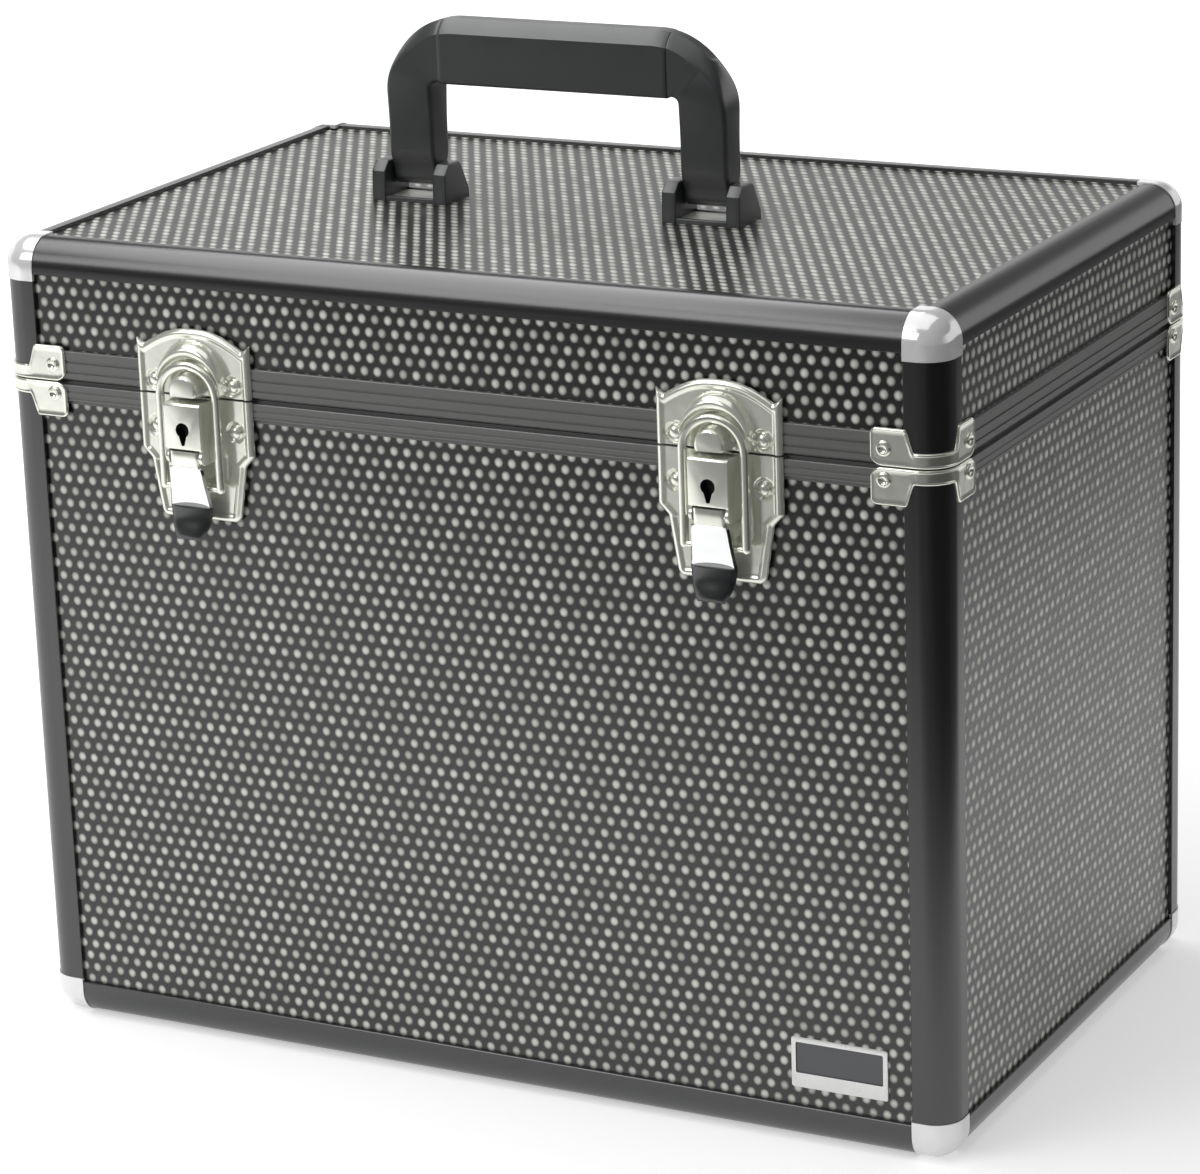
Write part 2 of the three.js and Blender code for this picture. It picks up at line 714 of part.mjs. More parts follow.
function lever() {
  const ear = new THREE.Shape();
  ear.moveTo(leverEarHeadReach, bailEyeRadius * 1.5 - bailPivotDrop);
  ear.lineTo(bailPivotReach, bailEyeRadius - bailPivotDrop);
  ear.absarc(bailPivotReach, -bailPivotDrop, bailEyeRadius, quarter, 3 * quarter, false);
  ear.lineTo(leverEarFootReach, -bailEyeRadius - bailPivotDrop);
  ear.closePath();
  const [inner, half] = [leverHalfWidth - leverEarThickness, leverHalfWidth];
  const bore = pivotPinRadius + pivotPlay;
  const wide = leverHalfWidth + overrun;
  return cut(
    join(
      thumbTab(),
      pinAlongX(leverKnuckleRadius, -half, half, leverPivotReach, -leverPivotDrop, roundSteps),
      cheek(ear, inner, half),
      cheek(ear, -half, -inner),
    ),
    pinAlongX(bore, -wide, wide, leverPivotReach, -leverPivotDrop, roundSteps),
    pinAlongX(bore, -wide, wide, bailPivotReach, -bailPivotDrop, roundSteps),
  );
}

// Bail: a bar bent to an arch, with a short pin turned inward at each foot.
function bail() {
  const outerHalf = bailInnerHalfWidth + bailBar;
  const middle = bailInnerHalfWidth + bailBar / 2;
  const arch = new THREE.Shape();
  arch.moveTo(bailInnerHalfWidth, -bailPivotDrop);
  arch.lineTo(bailInnerHalfWidth, bailCentreRise);
  arch.absarc(0, bailCentreRise, bailInnerHalfWidth, 0, Math.PI, false);
  arch.lineTo(-bailInnerHalfWidth, -bailPivotDrop);
  arch.absarc(-middle, -bailPivotDrop, bailBar / 2, 0, -Math.PI, true);
  arch.lineTo(-outerHalf, bailCentreRise);
  arch.absarc(0, bailCentreRise, outerHalf, Math.PI, 0, true);
  arch.lineTo(outerHalf, -bailPivotDrop);
  arch.absarc(middle, -bailPivotDrop, bailBar / 2, 0, -Math.PI, true);
  arch.closePath();
  const pinEnd = leverHalfWidth - leverEarThickness;
  return join(
    plate(arch, bailPivotReach - bailDepth / 2, bailPivotReach + bailDepth / 2, smallSteps),
    pinAlongX(pivotPinRadius, pinEnd, middle, bailPivotReach, -bailPivotDrop),
    pinAlongX(pivotPinRadius, -middle, -pinEnd, bailPivotReach, -bailPivotDrop),
  );
}

function addLatches() {
  [['left', -1], ['right', 1]].forEach(([side, sign]) => {
    const x = sign * (halfWidth - latchInset);
    addLatchPiece(lid, `latch_keeper_${side}`, keeper(), x);
    addLatchPiece(body, `latch_base_${side}`, latchBase(), x);
    addLatchPiece(body, `latch_lever_${side}`, lever(), x);
    addLatchPiece(body, `latch_bail_${side}`, bail(), x);
  });
}

// Handle bracket: a floor, two tapered ears and the pin that the handle turns on.
function handleBracket() {
  const half = bracketWidth / 2;
  const ear = roundedShape([
    [-bracketDepth / 2, 0], [bracketDepth / 2, 0], [bracketDepth / 2, bracketEarShoulder],
    [bracketEarTopDepth / 2, bracketEarRise, bracketEarRound],
    [-bracketEarTopDepth / 2, bracketEarRise, bracketEarRound], [-bracketDepth / 2, bracketEarShoulder],
  ]);
  const inner = half - bracketEarThickness;
  const pinEnd = half - bracketEarThickness / 2;
  return join(
    block([-half, -bracketDepth / 2, 0], [half, bracketDepth / 2, bracketFloor]),
    cheek(ear, inner, half),
    cheek(ear, -half, -inner),
    pinAlongX(handlePinRadius, -pinEnd, pinEnd, 0, handlePivotRise, roundSteps),
  );
}

// Handle seen from the front, with z = 0 on its pivot.
function handleFrontShape() {
  const legHalf = bracketWidth / 2 - bracketEarThickness - handleLegPlay;
  const [inner, outer] = [bracketSpacing / 2 - legHalf, bracketSpacing / 2 + legHalf];
  const gripLow = handleRise - handleGripThickness;
  const [arcOut, arcIn] = [handleOuterRound, handleInnerRound];
  const foot = -handleLegFootRadius - overrun;
  const shape = new THREE.Shape();
  shape.moveTo(outer, foot);
  shape.lineTo(outer, handleRise - arcOut);
  shape.absarc(outer - arcOut, handleRise - arcOut, arcOut, 0, quarter, false);
  shape.lineTo(arcOut - outer, handleRise);
  shape.absarc(arcOut - outer, handleRise - arcOut, arcOut, quarter, Math.PI, false);
  shape.lineTo(-outer, foot);
  shape.lineTo(-inner, foot);
  shape.lineTo(-inner, gripLow - arcIn);
  shape.absarc(arcIn - inner, gripLow - arcIn, arcIn, Math.PI, quarter, true);
  shape.lineTo(inner - arcIn, gripLow);
  shape.absarc(inner - arcIn, gripLow - arcIn, arcIn, quarter, 0, true);
  shape.lineTo(inner, foot);
  shape.closePath();
  return shape;
}

// Handle seen from the side: a round foot, a slimmer leg and a deeper grip.
function handleSideShape() {
  const [leg, grip] = [handleLegDepth / 2, handleGripDepth / 2];
  const [footTop, legTop, gripFoot] = handleLegFlareShares.map((share) => share * handleRise);
  const shape = new THREE.Shape();
  shape.moveTo(-handleLegFootRadius, 0);
  shape.absarc(0, 0, handleLegFootRadius, Math.PI, 2 * Math.PI, false);
  const top = handleRise + overrun;
  [[leg, footTop], [leg, legTop], [grip, gripFoot], [grip, top], [-grip, top], [-grip, gripFoot],
    [-leg, legTop], [-leg, footTop]].forEach(([reach, z]) => shape.lineTo(reach, z));
  shape.closePath();
  return shape;
}

function carryingHandle() {
  const front = new THREE.ExtrudeGeometry(handleFrontShape(), {
    depth: handleGripDepth - 2 * handleBevel,
    bevelEnabled: true,
    bevelThickness: handleBevel,
    bevelSize: handleBevel,
    bevelOffset: -handleBevel,
    bevelSegments: 2,
    curveSegments: cornerSteps,
  });
  front.rotateX(quarter).translate(0, handleGripDepth / 2 - handleBevel, 0);
  const outer = bracketSpacing / 2 + bracketWidth;
  const bore = handlePinRadius + pivotPlay;
  return cut(
    common(front, cheek(handleSideShape(), -outer, outer)),
    pinAlongX(bore, -outer, outer, 0, 0, roundSteps),
  );
}

function addHandle() {
  [['left', -1], ['right', 1]].forEach(([side, sign]) => {
    const bracket = add(lid, `handle_bracket_${side}`, handleBracket(), blackPlastic);
    bracket.position.set(handleOffset + sign * bracketSpacing / 2, 0, lidPanelTop);
  });
  const handle = add(lid, 'handle', carryingHandle(), blackPlastic);
  handle.position.set(handleOffset, 0, lidPanelTop + handlePivotRise);
}

// Hinge leaf with its own knuckles: up = 1 for the lid's leaf and -1 for the body's.
function hingeLeaf(up, rise, firstKnuckle) {
  const pitch = hingeLength / hingeKnuckles;
  const [near, half] = [hingeKnuckleRadius + slotPlay, hingeLength / 2];
  const web = near + hingeLeafThickness;
  const leaf = block(
    [-half, -hingeLeafThickness, Math.min(up * near, up * rise)],
    [half, 0, Math.max(up * near, up * rise)],
  );
  const knuckles = [];
  for (let place = firstKnuckle; place < hingeKnuckles; place += 2) {
    const from = place * pitch + hingeKnuckleGap / 2 - half;
    const to = from + pitch - hingeKnuckleGap;
    const [low, high] = [Math.min(0, up * web), Math.max(0, up * web)];
    knuckles.push(pinAlongX(hingeKnuckleRadius, from, to, hingeAxisOut, 0, roundSteps));
    knuckles.push(block([from, -hingeLeafThickness, low], [to, 0, high]));
  }
  const rivetPitch = (hingeLength - 2 * hingeRivetInset) / (hingeRivetCount - 1);
  const rivets = Array.from({ length: hingeRivetCount }, (_, place) => rivetHead(
    hingeRivetRadius, hingeRivetHeight, hingeRivetDimple, hingeRivetInset + place * rivetPitch - half,
    hingeLeafThickness, up * (near + rise) / 2,
  ));
  const bore = pinAlongX(hingeBoreRadius, -half - overrun, half + overrun, hingeAxisOut, 0, roundSteps);
  return turned(cut(join(leaf, ...knuckles, ...rivets), bore), 2);
}

function addHinge() {
  const half = hingeLength / 2;
  const pin = turned(pinAlongX(hingePinRadius, -half, half, hingeAxisOut, 0, roundSteps), 2);
  [[body, 'hinge_body_leaf', hingeLeaf(-1, hingeBodyLeafDrop, 0)],
    [lid, 'hinge_lid_leaf', hingeLeaf(1, hingeLidLeafRise, 1)],
    [body, 'hinge_pin', pin]].forEach(([group, name, geometry]) => {
    add(group, name, geometry, chrome).position.set(0, halfDepth, partingHeight);
  });
}

addFlatPanel(body, 'body_bottom_panel', skin);
addFlatPanel(lid, 'lid_top_panel', lidPanelTop - panelThickness);
addWalls(body, 'body', edgeRadius, bodySlotRoof - slotPlay);
addWalls(lid, 'lid', lidSlotFloor + slotPlay, caseHeight - edgeRadius);
addPosts(body, 'body', capReach, bodyRimBottom);
addPosts(lid, 'lid', lidRimTop, caseHeight - capReach);
addFloorEdges();
addLidEdges();
addCaps();
add(body, 'body_rim', bodyRim(), greyRim);
add(lid, 'lid_rim', lidRim(), greyRim);
add(body, 'body_lining', liningTray(legBack + liningPlay, bodyRimBottom), liningFabric);
add(lid, 'lid_lining', liningTray(caseHeight - legBack - liningPlay, lidRimTop), liningFabric);
addBraces();
addLatches();
addHandle();
addHinge();

// The levers stand further out in front than the hinge does behind, so the case sits back from the origin.
vanityCase.add(body, lid);
vanityCase.position.y = (frontReach - backReach) / 2;

export default vanityCase;
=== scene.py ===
"""A vanity case: dotted panels in rounded black edges, a hinged lid, two draw latches and a handle.

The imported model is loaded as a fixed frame, and each operator builds one kind of piece round it.
"""

import json
import math

import bmesh
import bpy
from bpy.props import FloatProperty, FloatVectorProperty, IntProperty
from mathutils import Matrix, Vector

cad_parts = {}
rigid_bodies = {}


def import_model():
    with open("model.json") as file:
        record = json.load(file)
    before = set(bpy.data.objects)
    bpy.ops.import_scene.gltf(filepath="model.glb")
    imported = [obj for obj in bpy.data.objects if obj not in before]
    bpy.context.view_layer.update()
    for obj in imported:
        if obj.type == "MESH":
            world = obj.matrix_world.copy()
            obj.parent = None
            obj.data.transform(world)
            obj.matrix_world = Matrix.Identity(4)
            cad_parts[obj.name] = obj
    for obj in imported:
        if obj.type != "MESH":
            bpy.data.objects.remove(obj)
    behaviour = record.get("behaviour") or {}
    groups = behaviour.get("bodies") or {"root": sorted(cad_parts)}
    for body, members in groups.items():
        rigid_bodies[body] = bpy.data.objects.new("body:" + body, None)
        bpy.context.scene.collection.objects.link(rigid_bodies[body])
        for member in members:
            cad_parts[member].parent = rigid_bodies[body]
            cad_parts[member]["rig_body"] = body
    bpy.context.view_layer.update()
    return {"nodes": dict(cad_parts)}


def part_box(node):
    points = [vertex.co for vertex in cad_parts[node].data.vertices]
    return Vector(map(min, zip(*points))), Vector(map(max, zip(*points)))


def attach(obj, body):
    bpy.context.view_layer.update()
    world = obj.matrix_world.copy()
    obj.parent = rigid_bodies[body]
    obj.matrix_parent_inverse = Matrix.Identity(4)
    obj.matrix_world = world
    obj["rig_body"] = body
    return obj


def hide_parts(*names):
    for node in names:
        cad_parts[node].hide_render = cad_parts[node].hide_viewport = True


bl_info = {
    "name": "Vanity case",
    "version": (1, 0, 0),
    "blender": (4, 5, 0),
    "location": "3D View > Sidebar > Vanity case",
    "description": "Builds the pieces and finishes of a vanity case round its packed model",
    "category": "Object",
}

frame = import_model()

MM = 0.001
SIDES = ("front", "right", "back", "left")
CORNERS = {"front_left": (-1, -1), "front_right": (1, -1), "back_right": (1, 1), "back_left": (-1, 1)}
HANDS = ("left", "right")
# Degrees between two faces up to which their edge looks round
SMOOTH_UP_TO = 35

# Where the case stands, read from the frame
case_low, case_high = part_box("body_rim")
floor_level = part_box("floor_edge_front")[0].z
case_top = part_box("lid_edge_front")[1].z
parting = (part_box("body_brace_front_left")[1].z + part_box("lid_brace_front_left")[0].z) / 2
front_plane = case_low.y
back_plane = case_high.y


def linear(hex_colour):
    """Linear colour of an sRGB hex value."""
    shares = [int(hex_colour[place : place + 2], 16) / 255 for place in (0, 2, 4)]
    return tuple(s / 12.92 if s <= 0.04045 else ((s + 0.055) / 1.055) ** 2.4 for s in shares)


class CaseSizes(bpy.types.PropertyGroup):
    """Sizes of the extrusions, rims, caps, braces and the blank plate."""

    edge_radius: FloatProperty(
        name="Edge radius", description="Outer radius of the extrusions",
        default=10 * MM, unit="LENGTH")
    skin: FloatProperty(
        name="Skin", description="Wall of an extrusion over the panel",
        default=1.5 * MM, unit="LENGTH")
    slot: FloatProperty(
        name="Panel slot", description="Width of the slot that holds a panel",
        default=5.25 * MM, unit="LENGTH")
    inner_skin: FloatProperty(
        name="Inner skin", description="Wall behind the panel",
        default=1.25 * MM, unit="LENGTH")
    post_leg: FloatProperty(
        name="Post leg", description="Reach of a post over its panels",
        default=14.7 * MM, unit="LENGTH")
    lid_leg: FloatProperty(
        name="Lid edge leg", description="Reach of a lid edge over its panels",
        default=12.2 * MM, unit="LENGTH")
    floor_leg: FloatProperty(
        name="Floor edge leg", description="Reach of a floor edge over its panels",
        default=13.4 * MM, unit="LENGTH")
    arris: FloatProperty(
        name="Arris", description="Broken edge of an extrusion's leg",
        default=0.25 * MM, unit="LENGTH")
    cap_wall: FloatProperty(
        name="Cap wall", description="Sheet of a corner cap",
        default=1.3 * MM, unit="LENGTH")
    cap_proud: FloatProperty(
        name="Cap stand", description="How far a cap stands over its edges",
        default=0.35 * MM, unit="LENGTH")
    brace_sheet: FloatProperty(
        name="Brace sheet", description="Thickness of a waist brace",
        default=0.8 * MM, unit="LENGTH")
    plate_width: FloatProperty(
        name="Blank plate width", description="Width of the bare plate on the front",
        default=36 * MM, unit="LENGTH")
    plate_height: FloatProperty(
        name="Blank plate height", description="Height of the bare plate",
        default=18.4 * MM, unit="LENGTH")
    round_steps: IntProperty(
        name="Round steps", description="Facets in a quarter round",
        default=14, min=4, max=48)


class LatchSizes(bpy.types.PropertyGroup):
    """Sizes of a draw latch, round its own middle on the parting line."""

    sheet: FloatProperty(
        name="Plate", description="Thickness of the plates",
        default=1.2 * MM, unit="LENGTH")
    half_width: FloatProperty(
        name="Half width", description="Half of a plate's width",
        default=23 * MM, unit="LENGTH")
    gap: FloatProperty(
        name="Plate gap", description="Gap between both plates",
        default=0.8 * MM, unit="LENGTH")
    bead: FloatProperty(
        name="Rolled edge", description="Height of the rolled edge",
        default=0.6 * MM, unit="LENGTH")
    hood_height: FloatProperty(
        name="Hood", description="Height of the pressed hood",
        default=4.6 * MM, unit="LENGTH")
    lock_front: FloatProperty(
        name="Lock front", description="Reach of the lock case",
        default=10.4 * MM, unit="LENGTH")
    lock_half: FloatProperty(
        name="Lock half width", description="Half of the lock's width",
        default=7.4 * MM, unit="LENGTH")
    bail_bar: FloatProperty(
        name="Bail bar", description="Width of the bail's bar",
        default=3 * MM, unit="LENGTH")
    bail_depth: FloatProperty(
        name="Bail depth", description="Depth of the bail's bar",
        default=2.6 * MM, unit="LENGTH")


class HandleSizes(bpy.types.PropertyGroup):
    """Sizes of the carrying handle."""

    rise: FloatProperty(
        name="Rise", description="Top over the pivot",
        default=58.6 * MM, unit="LENGTH")
    grip: FloatProperty(
        name="Grip thickness", description="Height of the grip",
        default=23.2 * MM, unit="LENGTH")
    grip_depth: FloatProperty(
        name="Grip depth", description="Depth of the grip",
        default=14.4 * MM, unit="LENGTH")
    leg_width: FloatProperty(
        name="Leg width", description="Width of a leg",
        default=18.6 * MM, unit="LENGTH")
    leg_depth: FloatProperty(
        name="Leg depth", description="Depth of a leg",
        default=12.4 * MM, unit="LENGTH")
    foot_radius: FloatProperty(
        name="Foot", description="Radius round the pivot",
        default=3.8 * MM, unit="LENGTH")
    outer_round: FloatProperty(
        name="Outer round", description="Bend over a leg",
        default=28.5 * MM, unit="LENGTH")
    inner_round: FloatProperty(
        name="Inner round", description="Bend under the grip",
        default=2.4 * MM, unit="LENGTH")
    edge_round: FloatProperty(
        name="Edge round", description="Round along the edges",
        default=1.7 * MM, unit="LENGTH")
    crown: FloatProperty(
        name="Grip crown", description="Slope along the grip's top edges",
        default=4.9 * MM, unit="LENGTH")
    swell: FloatProperty(
        name="Grip swell", description="How far the grip stands over the legs",
        default=0.5 * MM, unit="LENGTH")


class Finishes(bpy.types.PropertyGroup):
    """Colours of the finishes."""

    ground: FloatVectorProperty(
        name="Laminate ground", description="Black between the dots",
        subtype="COLOR", default=linear("191a18"))
    dot: FloatVectorProperty(
        name="Laminate dot", description="Silver of the dots",
        subtype="COLOR", default=linear("c0c1ba"))
    anodised: FloatVectorProperty(
        name="Black anodising", description="Extruded edges and posts",
        subtype="COLOR", default=linear("1c1d1e"))
    rim: FloatVectorProperty(
        name="Grey anodising", description="Rims on the parting line",
        subtype="COLOR", default=linear("575856"))
    chrome: FloatVectorProperty(
        name="Latch chrome", description="Plating of latches and braces",
        subtype="COLOR", default=linear("f0f1e6"))
    bright_chrome: FloatVectorProperty(
        name="Cap chrome", description="Plating of the corner caps",
        subtype="COLOR", default=linear("e9eaea"))
    plastic: FloatVectorProperty(
        name="Handle plastic", description="Moulded handle and brackets",
        subtype="COLOR", default=linear("2a2c2d"))
    felt: FloatVectorProperty(
        name="Lining", description="Felt inside the case",
        subtype="COLOR", default=linear("232325"))


# Nodes and materials


def add_node(tree, kind, properties=None, values=None, links=None):
    """Adds one node with its properties, its input values, and links from (node, output)."""
    node = tree.nodes.new(kind)
    for name, value in (properties or {}).items():
        setattr(node, name, value)
    for socket, value in (values or {}).items():
        node.inputs[socket].default_value = value
    for socket, (source, output) in (links or {}).items():
        tree.links.new(source.outputs[output], node.inputs[socket])
    return node


def new_material(name):
    """An empty node material, and its tree."""
    material = bpy.data.materials.new(name)
    material.use_nodes = True
    tree = material.node_tree
    tree.nodes.clear()
    return material, tree


def rgba(colour, share=1.0):
    """A colour socket's value, with its strength scaled."""
    return (colour[0] * share, colour[1] * share, colour[2] * share, 1.0)


def dotted_laminate(name, axes, shift, dot, edge, roughness, lean=0.0):
    """Decorative laminate: a black film pressed with rows of silver dots under a satin lacquer.

    The dots are low cushions that catch the light on their shoulders, and each dot's colour is
    also painted brighter towards its middle, a painted highlight; the black between them stays
    calm and only mirrors softly. A dot differs a little from the next in brightness. axes are the
    two that lie in the panel, dot is half a dot's width and height, edge is how soft its outline
    is, and lean draws it out along the slanting rows.
    """
    finishes = bpy.context.scene.vanity_finishes
    pitch, row = 5.12 * MM, 4.62 * MM
    cloud_size, grain_size = 30 * MM, 0.4 * MM
    half_width, half_height = dot
    material, tree = new_material(name)
    place = add_node(tree, "ShaderNodeTexCoord")
    parts = add_node(tree, "ShaderNodeSeparateXYZ", links={0: (place, "Object")})
    flat = add_node(
        tree, "ShaderNodeCombineXYZ", links={"X": (parts, axes[0]), "Y": (parts, axes[1])})
    lattice = add_node(
        tree, "ShaderNodeVectorMath", {"operation": "MULTIPLY_ADD"},
        {1: (1 / pitch, 1 / (2 * row), 0), 2: (*shift, 0)}, {0: (flat, 0)})
    # Two square lattices, half a step apart, give the staggered rows
    distances, tones = [], []
    for half_step, seed in (((0.0, 0.0, 0.0), 0.0), ((0.5, 0.5, 0.0), 7.0)):
        moved = add_node(
            tree, "ShaderNodeVectorMath", {"operation": "ADD"}, {1: half_step}, {0: (lattice, 0)})
        cell = add_node(
            tree, "ShaderNodeVectorMath", {"operation": "FLOOR"}, None, {0: (moved, 0)})
        within = add_node(
            tree, "ShaderNodeVectorMath", {"operation": "FRACTION"}, None, {0: (moved, 0)})
        centred = add_node(
            tree, "ShaderNodeVectorMath", {"operation": "MULTIPLY_ADD"},
            {1: (pitch / half_width, 2 * row / half_height, 0),
             2: (-0.5 * pitch / half_width, -row / half_height, 0)},
            {0: (within, 0)})
        sides = add_node(tree, "ShaderNodeSeparateXYZ", links={0: (centred, 0)})
        leaned = add_node(
            tree, "ShaderNodeMath", {"operation": "MULTIPLY_ADD"},
            {1: lean * half_height / half_width}, {0: (sides, "Y"), 2: (sides, "X")})
        leaning = add_node(
            tree, "ShaderNodeCombineXYZ", links={"X": (leaned, 0), "Y": (sides, "Y")})
        distances.append(add_node(
            tree, "ShaderNodeVectorMath", {"operation": "LENGTH"}, None, {0: (leaning, 0)}))
        own_cell = add_node(
            tree, "ShaderNodeVectorMath", {"operation": "ADD"}, {1: (seed, 3.0, 7.0)}, {0: (cell, 0)})
        tones.append(add_node(
            tree, "ShaderNodeTexWhiteNoise", {"noise_dimensions": "3D"}, None,
            {"Vector": (own_cell, 0)}))
    nearest = add_node(
        tree, "ShaderNodeMath", {"operation": "MINIMUM"}, None,
        {0: (distances[0], "Value"), 1: (distances[1], "Value")})
    is_first = add_node(
        tree, "ShaderNodeMath", {"operation": "LESS_THAN"}, None,
        {0: (distances[0], "Value"), 1: (distances[1], "Value")})
    tone = add_node(
        tree, "ShaderNodeMix", {"data_type": "FLOAT"}, None,
        {"Factor": (is_first, 0), 2: (tones[1], "Value"), 3: (tones[0], "Value")})
    on_dot = add_node(
        tree, "ShaderNodeMapRange", {"interpolation_type": "SMOOTHSTEP"},
        {"From Min": 1 + edge, "From Max": 1 - edge}, {"Value": (nearest, 0)})
    crown = add_node(
        tree, "ShaderNodeMapRange", {"interpolation_type": "SMOOTHSTEP"},
        {"From Min": 1.25, "From Max": 0.1}, {"Value": (nearest, 0)})
    # Slow clouding of the print
    cloud = add_node(
        tree, "ShaderNodeTexNoise", None, {"Scale": 1 / cloud_size, "Detail": 2.0},
        {"Vector": (place, "Object")})
    # Painted highlight: half the cushion's height brightens the dot's colour towards its middle
    painted_highlight_on_dot = add_node(
        tree, "ShaderNodeMath", {"operation": "MULTIPLY"}, {1: 0.5}, {0: (crown, 0)})
    dot_tone_and_painted_highlight = add_node(
        tree, "ShaderNodeMath", {"operation": "MULTIPLY_ADD"}, {1: 0.6},
        {0: (tone, 0), 2: (painted_highlight_on_dot, 0)})
    dot_colour = add_node(
        tree, "ShaderNodeMix", {"data_type": "RGBA"},
        {6: rgba(finishes.dot, 0.48), 7: rgba(finishes.dot, 1.3)}, {"Factor": (dot_tone_and_painted_highlight, 0)})
    ground = add_node(
        tree, "ShaderNodeMix", {"data_type": "RGBA"},
        {6: rgba(finishes.ground, 0.75), 7: rgba(finishes.ground, 1.5)}, {"Factor": (cloud, "Fac")})
    colour = add_node(
        tree, "ShaderNodeMix", {"data_type": "RGBA"}, None,
        {"Factor": (on_dot, 0), 6: (ground, 2), 7: (dot_colour, 2)})
    metal = add_node(
        tree, "ShaderNodeMath", {"operation": "MULTIPLY"}, {1: 0.35}, {0: (on_dot, 0)})
    rough = add_node(
        tree, "ShaderNodeMapRange", None, {"To Min": roughness, "To Max": 0.42}, {"Value": (on_dot, 0)})
    # Fine grain of the lacquer
    grain = add_node(
        tree, "ShaderNodeTexNoise", None, {"Scale": 1 / grain_size, "Detail": 1.0},
        {"Vector": (place, "Object")})
    relief = add_node(
        tree, "ShaderNodeMath", {"operation": "MULTIPLY_ADD"}, {1: 0.06},
        {0: (grain, "Fac"), 2: (crown, 0)})
    bump = add_node(
        tree, "ShaderNodeBump", None, {"Strength": 0.8, "Distance": 0.22 * MM}, {"Height": (relief, 0)})
    shader = add_node(
        tree, "ShaderNodeBsdfPrincipled", None, {"IOR": 1.6},
        {"Base Color": (colour, 2), "Metallic": (metal, 0), "Roughness": (rough, 0),
         "Normal": (bump, 0)})
    add_node(tree, "ShaderNodeOutputMaterial", links={"Surface": (shader, 0)})
    return material


def anodised_extrusion(name, colour, length_axis, roughness):
    """Extruded aluminium, anodised and dyed: satin, with faint die lines running along the bar.

    The dye makes it nearly black face on, and the clear oxide mirrors the room at low angles.
    """
    line_width, line_length, grain_size = 0.9 * MM, 160 * MM, 0.35 * MM
    material, tree = new_material(name)
    place = add_node(tree, "ShaderNodeTexCoord")
    stretch = [1 / line_width] * 3
    stretch["XYZ".index(length_axis)] = 1 / line_length
    lines_at = add_node(
        tree, "ShaderNodeVectorMath", {"operation": "MULTIPLY"}, {1: tuple(stretch)},
        {0: (place, "Object")})
    lines = add_node(
        tree, "ShaderNodeTexNoise", None, {"Scale": 1.0, "Detail": 3.0, "Roughness": 0.6},
        {"Vector": (lines_at, 0)})
    grain = add_node(
        tree, "ShaderNodeTexNoise", None, {"Scale": 1 / grain_size, "Detail": 1.0},
        {"Vector": (place, "Object")})
    tone = add_node(
        tree, "ShaderNodeMix", {"data_type": "RGBA"},
        {6: rgba(colour, 0.82), 7: rgba(colour, 1.2)}, {"Factor": (lines, "Fac")})
    rough = add_node(
        tree, "ShaderNodeMapRange", None, {"To Min": roughness - 0.05, "To Max": roughness + 0.07},
        {"Value": (lines, "Fac")})
    relief = add_node(
        tree, "ShaderNodeMath", {"operation": "MULTIPLY_ADD"}, {1: 0.5},
        {0: (grain, "Fac"), 2: (lines, "Fac")})
    bump = add_node(
        tree, "ShaderNodeBump", None, {"Strength": 0.16, "Distance": 0.05 * MM},
        {"Height": (relief, 0)})
    shader = add_node(
        tree, "ShaderNodeBsdfPrincipled", None, {"IOR": 1.78},
        {"Base Color": (tone, 2), "Roughness": (rough, 0), "Normal": (bump, 0)})
    add_node(tree, "ShaderNodeOutputMaterial", links={"Surface": (shader, 0)})
    return material


def plated_steel(name, colour, roughness, wave, metal):
    """Pressed and plated steel: bright, and a little wavy from the press tool.

    The waviness breaks a reflection's outline, and handling dulls it here and there. metal is 1 for
    a clear chrome mirror, and less for satin nickel or zinc, whose fine crystals spread the light
    like a pale paint.
    """
    wave_size, rub_size = 7 * MM, 2.5 * MM
    material, tree = new_material(name)
    place = add_node(tree, "ShaderNodeTexCoord")
    swell = add_node(
        tree, "ShaderNodeTexNoise", None, {"Scale": 1 / wave_size, "Detail": 2.0},
        {"Vector": (place, "Object")})
    rub = add_node(
        tree, "ShaderNodeTexNoise", None, {"Scale": 1 / rub_size, "Detail": 3.0},
        {"Vector": (place, "Object")})
    tone = add_node(
        tree, "ShaderNodeMix", {"data_type": "RGBA"},
        {6: rgba(colour, 0.9), 7: rgba(colour, 1.06)}, {"Factor": (swell, "Fac")})
    rough = add_node(
        tree, "ShaderNodeMapRange", None, {"To Min": roughness * 0.85, "To Max": roughness * 1.2},
        {"Value": (rub, "Fac")})
    bump = add_node(
        tree, "ShaderNodeBump", None, {"Strength": wave, "Distance": 0.4 * MM},
        {"Height": (swell, "Fac")})
    shader = add_node(
        tree, "ShaderNodeBsdfPrincipled", None, {"Metallic": metal},
        {"Base Color": (tone, 2), "Roughness": (rough, 0), "Normal": (bump, 0)})
    add_node(tree, "ShaderNodeOutputMaterial", links={"Surface": (shader, 0)})
    return material


